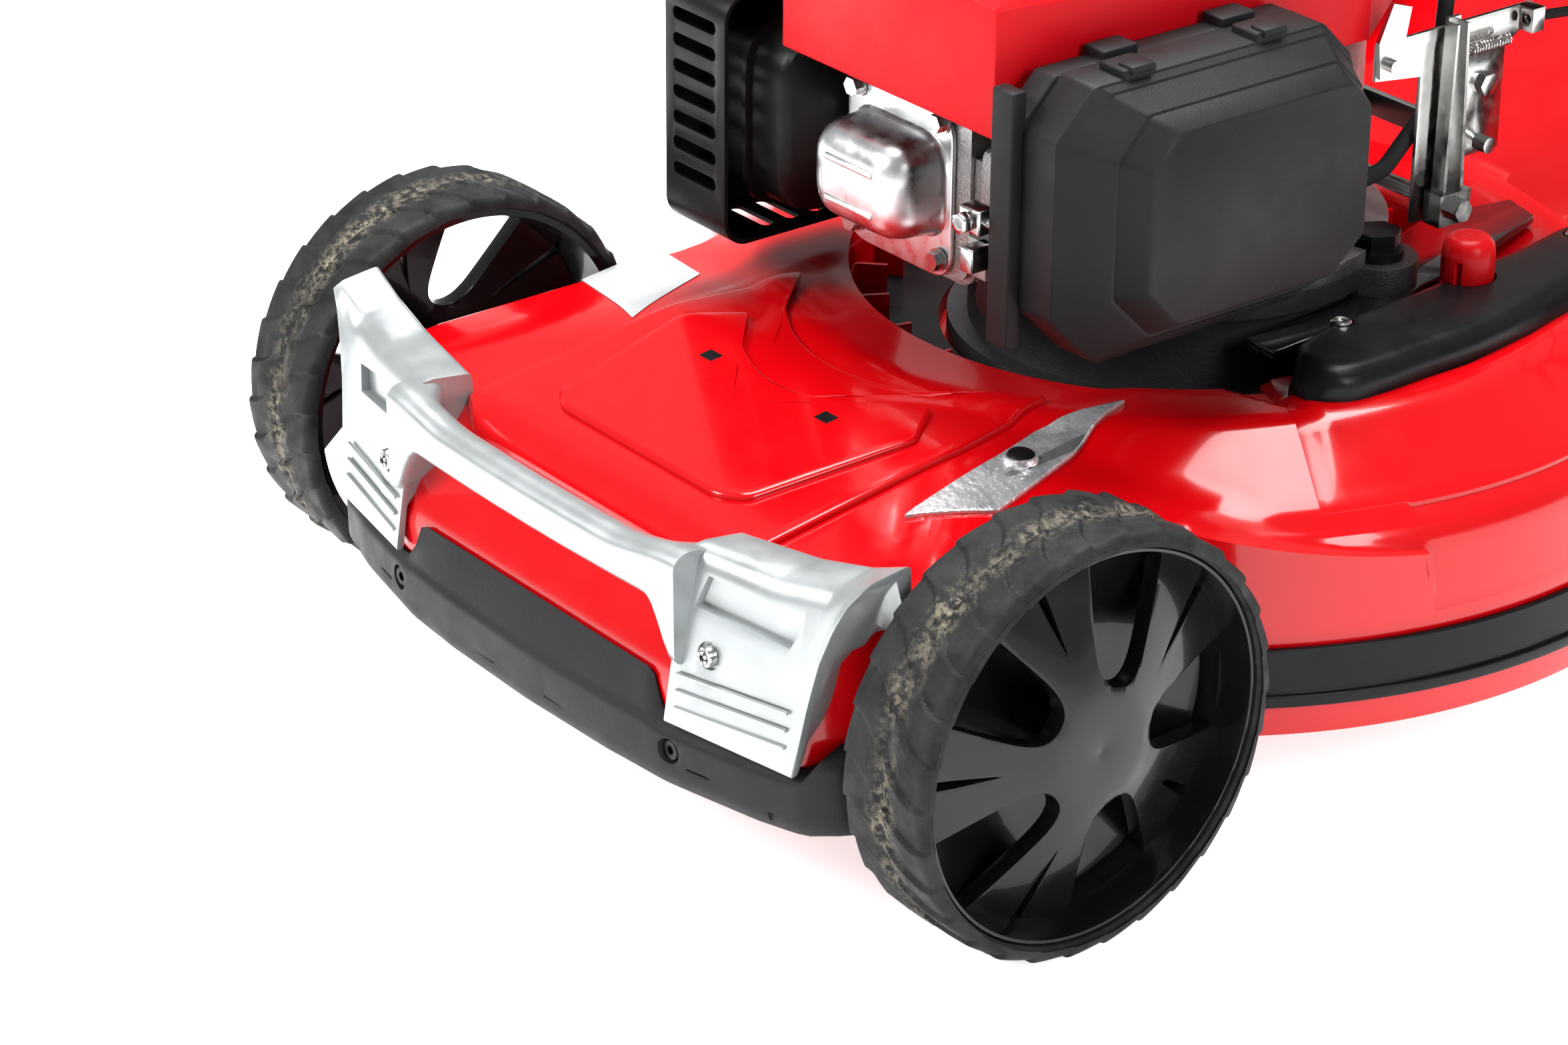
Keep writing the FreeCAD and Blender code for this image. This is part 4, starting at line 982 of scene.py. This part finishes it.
def softened(node, width, segments=3, angle=28):
    # the frame's own shape with its sharp edges rounded
    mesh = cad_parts[node].data.copy()
    mesh = modified(fixNormals(mesh), "DECIMATE", decimate_type="DISSOLVE", angle_limit=math.radians(1.5))
    return modified(mesh, "BEVEL", width=width * mm, segments=segments, limit_method="ANGLE",
                    angle_limit=math.radians(angle), use_clamp_overlap=True)


def filterCover():
    look = {"y": (74, 250, 1.0, 0.50), "z": (206, 338, 0.78, 0.58), "chamfer": 27}
    steps = [(111.6, 0.3), (112.2, 0.0), (133.4, 0.4), (134.0, 1.0), (134.3, 2.4), (137.6, 5.6),
             (138.0, 7.6), (151.0, 19.0), (151.4, 21.0), (152.2, 21.6), (162.8, 29.8), (163.8, 31.6)]
    rings = []
    for x, inset in steps:
        y0, y1, a, b = look["y"]
        z0, z1, c, d = look["z"]
        y0, y1, z0, z1 = y0 + a * inset, y1 - b * inset, z0 + c * inset, z1 - d * inset
        c = look["chamfer"] - inset * 0.25
        outline = [(y0 + c, z0), (y1 - c, z0), (y1, z0 + c * 0.8), (y1, z1 - c * 0.7), (y1 - c * 0.7, z1),
                   (y0 + c * 0.8, z1), (y0, z1 - c * 0.8), (y0, z0 + c)]
        rings.append([at(x, y, z) for y, z in roundCorners(outline, 2.2, 2)])
    parts = [loft("cover", rings)]
    for y in (112, 190):
        parts.append(bevelled(boxMesh(117, 134, y, y + 19, 332, 341.5), 1.2, 3))
        parts.append(bevelled(boxMesh(126, 136, y + 3, y + 16, 339, 343), 1.0, 2))
    addPiece("filter_lid", joined(parts), filterBlack, "filter_cover", "black_plastic", "air_filter_cover")


def valveCover():
    look = {"x": 33.0, "z": (232, 281), "flange": (37.0, 213, 294)}
    steps = [(99.6, -3.4), (98.6, -1.6), (97.0, -0.4), (94.5, 0.0), (82, 0.9), (76.5, 2.2), (72.4, 4.6),
             (69.8, 8.0), (68.5, 11.5), (68.0, 15.0)]
    rings = []
    for y, inset in steps:
        w, (z0, z1) = look["x"] - inset, look["z"]
        outline = [(-w, z0 + inset), (w, z0 + inset), (w, z1 - inset), (-w, z1 - inset)]
        rings.append([at(x, y, z) for x, z in roundCorners(outline, 17 - inset * 0.55, 6)])
    dome = loft("dome", rings)
    w, z0, z1 = look["flange"]
    place = lambda u, v, h: at(u, 99.6 + h, v)
    flange = slab("flange", roundCorners([(-w, z0), (w, z0), (w, z1), (-w, z1)], 14, 6), place, 2.6, 0.8)
    ribs = [bevelled(boxMesh(-17, 17, 67.2, 71, z - 1.8, z + 1.8), 1.0, 3) for z in (246, 266)]
    addPiece("rocker_cover", joined([dome, flange, *ribs]), zincBright, "chassis", "cast_alloy",
             "valve_cover")


def mufflerPart():
    def ringAt(x, inset):
        outline = [(84 + inset, 212 + inset), (166 - inset, 212 + inset), (166 - inset, 300 - inset),
                   (84 + inset, 300 - inset)]
        return [at(x, y, z) for y, z in roundCorners(outline, 24, 6)]
    rings = [ringAt(x, inset) for x, inset in (
        (-131, 6), (-130, 2.5), (-127, 0.6), (-122, 0), (-74, 0), (-69, 1), (-66, 4), (-62, 9), (-57, 15),
        (-52.5, 22), (-50.5, 29))]
    seam = [ringAt(x, inset) for x, inset in ((-98, 1), (-97, -2.6), (-94, -2.6), (-93, 1))]
    addPiece("silencer", joined([loft("muffler", rings), loft("seam", seam)]), guardBlack, "chassis",
             "black_metal", "muffler")


def springPart():
    low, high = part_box("governor_spring")
    span = high - low
    longest = max(range(3), key=lambda k: span[k])
    radius = min(span[k] for k in range(3) if k != longest) / 2
    middle = (low + high) / 2
    start, end = middle.copy(), middle.copy()
    start[longest], end[longest] = low[longest], high[longest]
    a, b = [Vector([1.0 if k == m else 0.0 for k in range(3)]) for m in range(3) if m != longest]
    turns = 15
    points = []
    for i in range(turns * 14 + 1):
        t = i / (turns * 14)
        size = radius * (0.82 if 0.04 < t < 0.96 else 0.3 + 0.52 * min(t, 1 - t) / 0.04)
        angle = 2 * math.pi * turns * t
        points.append(start.lerp(end, t) + a * size * math.cos(angle) + b * size * math.sin(angle))
    addPiece("return_spring", sweep("spring", points, 0.45, 8), zinc, "governor", "zinc", "governor_spring")


def linkage():
    # zinc clamp block with a bolt beside the filter base, and the black flap below it
    parts = [bevelled(boxMesh(80, 94, 66, 76, 262, 274), 1.2, 3),
             bevelled(boxMesh(84, 92, 64, 78, 244, 256), 1.0, 3),
             rodMesh(at(87, 60, 268), at(87, 99.0, 268), 3.0, 24),
             rodMesh(at(94, 71, 268), at(99.6, 71, 268), 2.4, 20)]
    parts.append(bevelled(rodMesh(at(87, 60, 268), at(87, 64.5, 268), 5.2, 6), 0.5, 2))
    addPiece("choke_link", joined(parts), zinc, "chassis", "zinc")
    outline = roundCorners([(70, 216), (92, 212), (97, 226), (96, 250), (84, 262), (74, 250)], 7, 4)
    place = lambda u, v, h: at(u, 86 + h, v)
    addPiece("heat_flap", slab("flap", outline, place, 2.0, 0.6), satinBlack, "chassis", "black_plastic")


zincBright = surface("zincBright", (0.62, 0.63, 0.64), 0.31, metal=1.0, coat=0.3, grain=0.012, spread=0.04,
                     spreadScale=30)
filterCover()
valveCover()
mufflerPart()
springPart()
linkage()
softPieces = {
    "engine_cowl": (redMatt, 7.0, "red_plastic"), "muffler_guard": (guardBlack, 0.5, "black_metal"),
    "recoil_housing": (satinBlack, 2.5, "black_plastic"), "fuel_tank": (softBlack, 4.0, "black_plastic"),
    "sump": (castDark, 1.6, "cast_alloy"), "crankcase": (cast, 1.6, "cast_alloy"),
    "rear_flap": (charcoal, 1.4, "black_plastic"), "edge_guards": (satinBlack, 0.9, "gloss_black"),
    "air_filter_base": (filterBlack, 1.0, "black_plastic"), "control_bracket": (zinc, 0.35, "zinc"),
    "carburettor": (cast, 0.8, "cast_alloy"), "handle_brackets": (satinBlack, 1.0, "gloss_black"),
}
for node, (material, width, slotName) in softPieces.items():
    addPiece("soft_" + node, softened(node, width), material, "chassis" if node != "rear_flap" else "flap",
             slotName, node)

print("engine ready")

trayOutline = [(124, 222), (120, 300), (109, 333), (104, 362), (80, 440), (58, 446), (48, 400), (70, 330),
               (98, 296), (104, 222)]
tray = loft("tray", [[at(x, y, z) for x, y in trayOutline] for z in (171.5, 176.5)])
addPiece("grip_tray", bevelled(tray, 1.2, 2, 40), glossBlack, "chassis", "gloss_black")


# camera, light and floor

def aim(name, place, target):
    helper = bpy.data.objects[name]
    helper.location = place
    helper.rotation_euler = (target - place).to_track_quat("-Z", "Y").to_euler()


def areaLight(name, place, target, width, height, power, color=(1, 1, 1)):
    data = bpy.data.lights.new(name, "AREA")
    data.shape = "RECTANGLE"
    data.size = width
    data.size_y = height
    data.energy = power
    data.color = color
    light = bpy.data.objects.new(name, data)
    bpy.context.scene.collection.objects.link(light)
    aim(name, place, target)


def placeCamera():
    view = {"place": (1499.6, -1142.9, 1031.4), "around": 51.91, "above": 26.14, "roll": 0.407,
            "lens": 104.755}
    a, e, r = (math.radians(view[key]) for key in ("around", "above", "roll"))
    back = Vector((math.sin(a) * math.cos(e), -math.cos(a) * math.cos(e), math.sin(e)))
    right = Vector((math.cos(a), math.sin(a), 0))
    up = back.cross(right)
    data = bpy.data.cameras.new("camera")
    data.lens = view["lens"]
    data.sensor_width = 36
    data.clip_start = 0.05
    camera = bpy.data.objects.new("camera", data)
    bpy.context.scene.collection.objects.link(camera)
    axes = (right * math.cos(r) + up * math.sin(r), up * math.cos(r) - right * math.sin(r), back)
    turn = Matrix([[axis[row] for axis in axes] for row in range(3)])
    camera.matrix_world = Matrix.Translation(at(*view["place"])) @ turn.to_4x4()
    bpy.context.scene.camera = camera


placeCamera()
bpy.context.scene.view_settings.view_transform = "Standard"

world = bpy.data.worlds.new("studio")
bpy.context.scene.world = world
world.use_nodes = True
sky = world.node_tree.nodes["Background"]
sky.inputs["Color"].default_value = (1, 1, 1, 1)
sky.inputs["Strength"].default_value = 0.45

areaLight("topLight", Vector((-0.5, 0.1, 2.9)), Vector((0, -0.4, 0)), 1.9, 1.9, 215)
areaLight("leftLight", Vector((-1.2, -3.0, 2.2)), Vector((0, -0.5, 0.1)), 1.2, 1.2, 125)
areaLight("rightLight", Vector((3.4, -0.6, 2.0)), Vector((0, -0.3, 0.2)), 1.0, 1.4, 80)

floorMesh = bpy.data.meshes.new("floor")
floorMesh.from_pydata([(-40, -40, -0.0006), (40, -40, -0.0006), (40, 40, -0.0006), (-40, 40, -0.0006)], [],
                      [(0, 1, 2, 3)])
floor = bpy.data.objects.new("floor", floorMesh)
bpy.context.scene.collection.objects.link(floor)
floorMaterial, _, floorShader = newMaterial("floorWhite")
floorShader.inputs["Base Color"].default_value = (0.93, 0.93, 0.93, 1)
floorShader.inputs["Roughness"].default_value = 0.9
floorShader.inputs["Emission Color"].default_value = (1, 1, 1, 1)
floorShader.inputs["Emission Strength"].default_value = 0.7
floorMesh.materials.append(floorMaterial)

finishes = {
    "deck_shell": redPaint, "front_bumper": charcoal, "front_handle": silver, "torx_screws": steel,
    "badge_plate": satinBlack, "deck_lens": clearLens, "edge_guards": satinBlack, "carry_grip": charcoal,
    "height_button": redCap, "axle_bushes": softBlack, "front_axle": steel, "rear_axle": steel,
    "height_link": steel, "crankshaft": steel, "blade_hub": cast, "blade": satinBlack, "blade_bolt": zinc,
    "flywheel": cast, "engine_ring": satinBlack, "sump": castDark, "crankcase": cast,
    "cylinder_head": cast, "valve_cover": cast, "valve_cover_bolts": zinc, "muffler": steel,
    "muffler_guard": guardBlack, "carburettor": cast, "air_filter_base": filterBlack,
    "air_filter_element": filterFoam, "air_filter_cover": filterBlack, "engine_cowl": redMatt,
    "recoil_housing": satinBlack, "starter_grip": softBlack, "fuel_tank": satinBlack,
    "fuel_cap": softBlack, "oil_cap": satinBlack, "fuel_hose": softBlack, "control_bracket": zinc,
    "governor_arm": zinc, "governor_spring": zinc, "control_lever": zinc, "rear_flap": charcoal,
    "handle_brackets": satinBlack, "lower_handle": satinBlack, "upper_handle": satinBlack,
    "grip_foam": foamGrip, "bail": satinBlack, "clamp_right": softBlack, "clamp_left": softBlack,
"cable_engine": softBlack, "cable_lower": softBlack, "cable_upper": softBlack, }
for corner in ("fr", "fl", "rr", "rl"):
    finishes["wheel_rim_" + corner] = rimBlack
    finishes["wheel_tyre_" + corner] = tyreRubber
for node, material in finishes.items():
    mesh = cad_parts[node].data
    mesh.materials.clear()
    mesh.materials.append(material)

print("finishes ready")
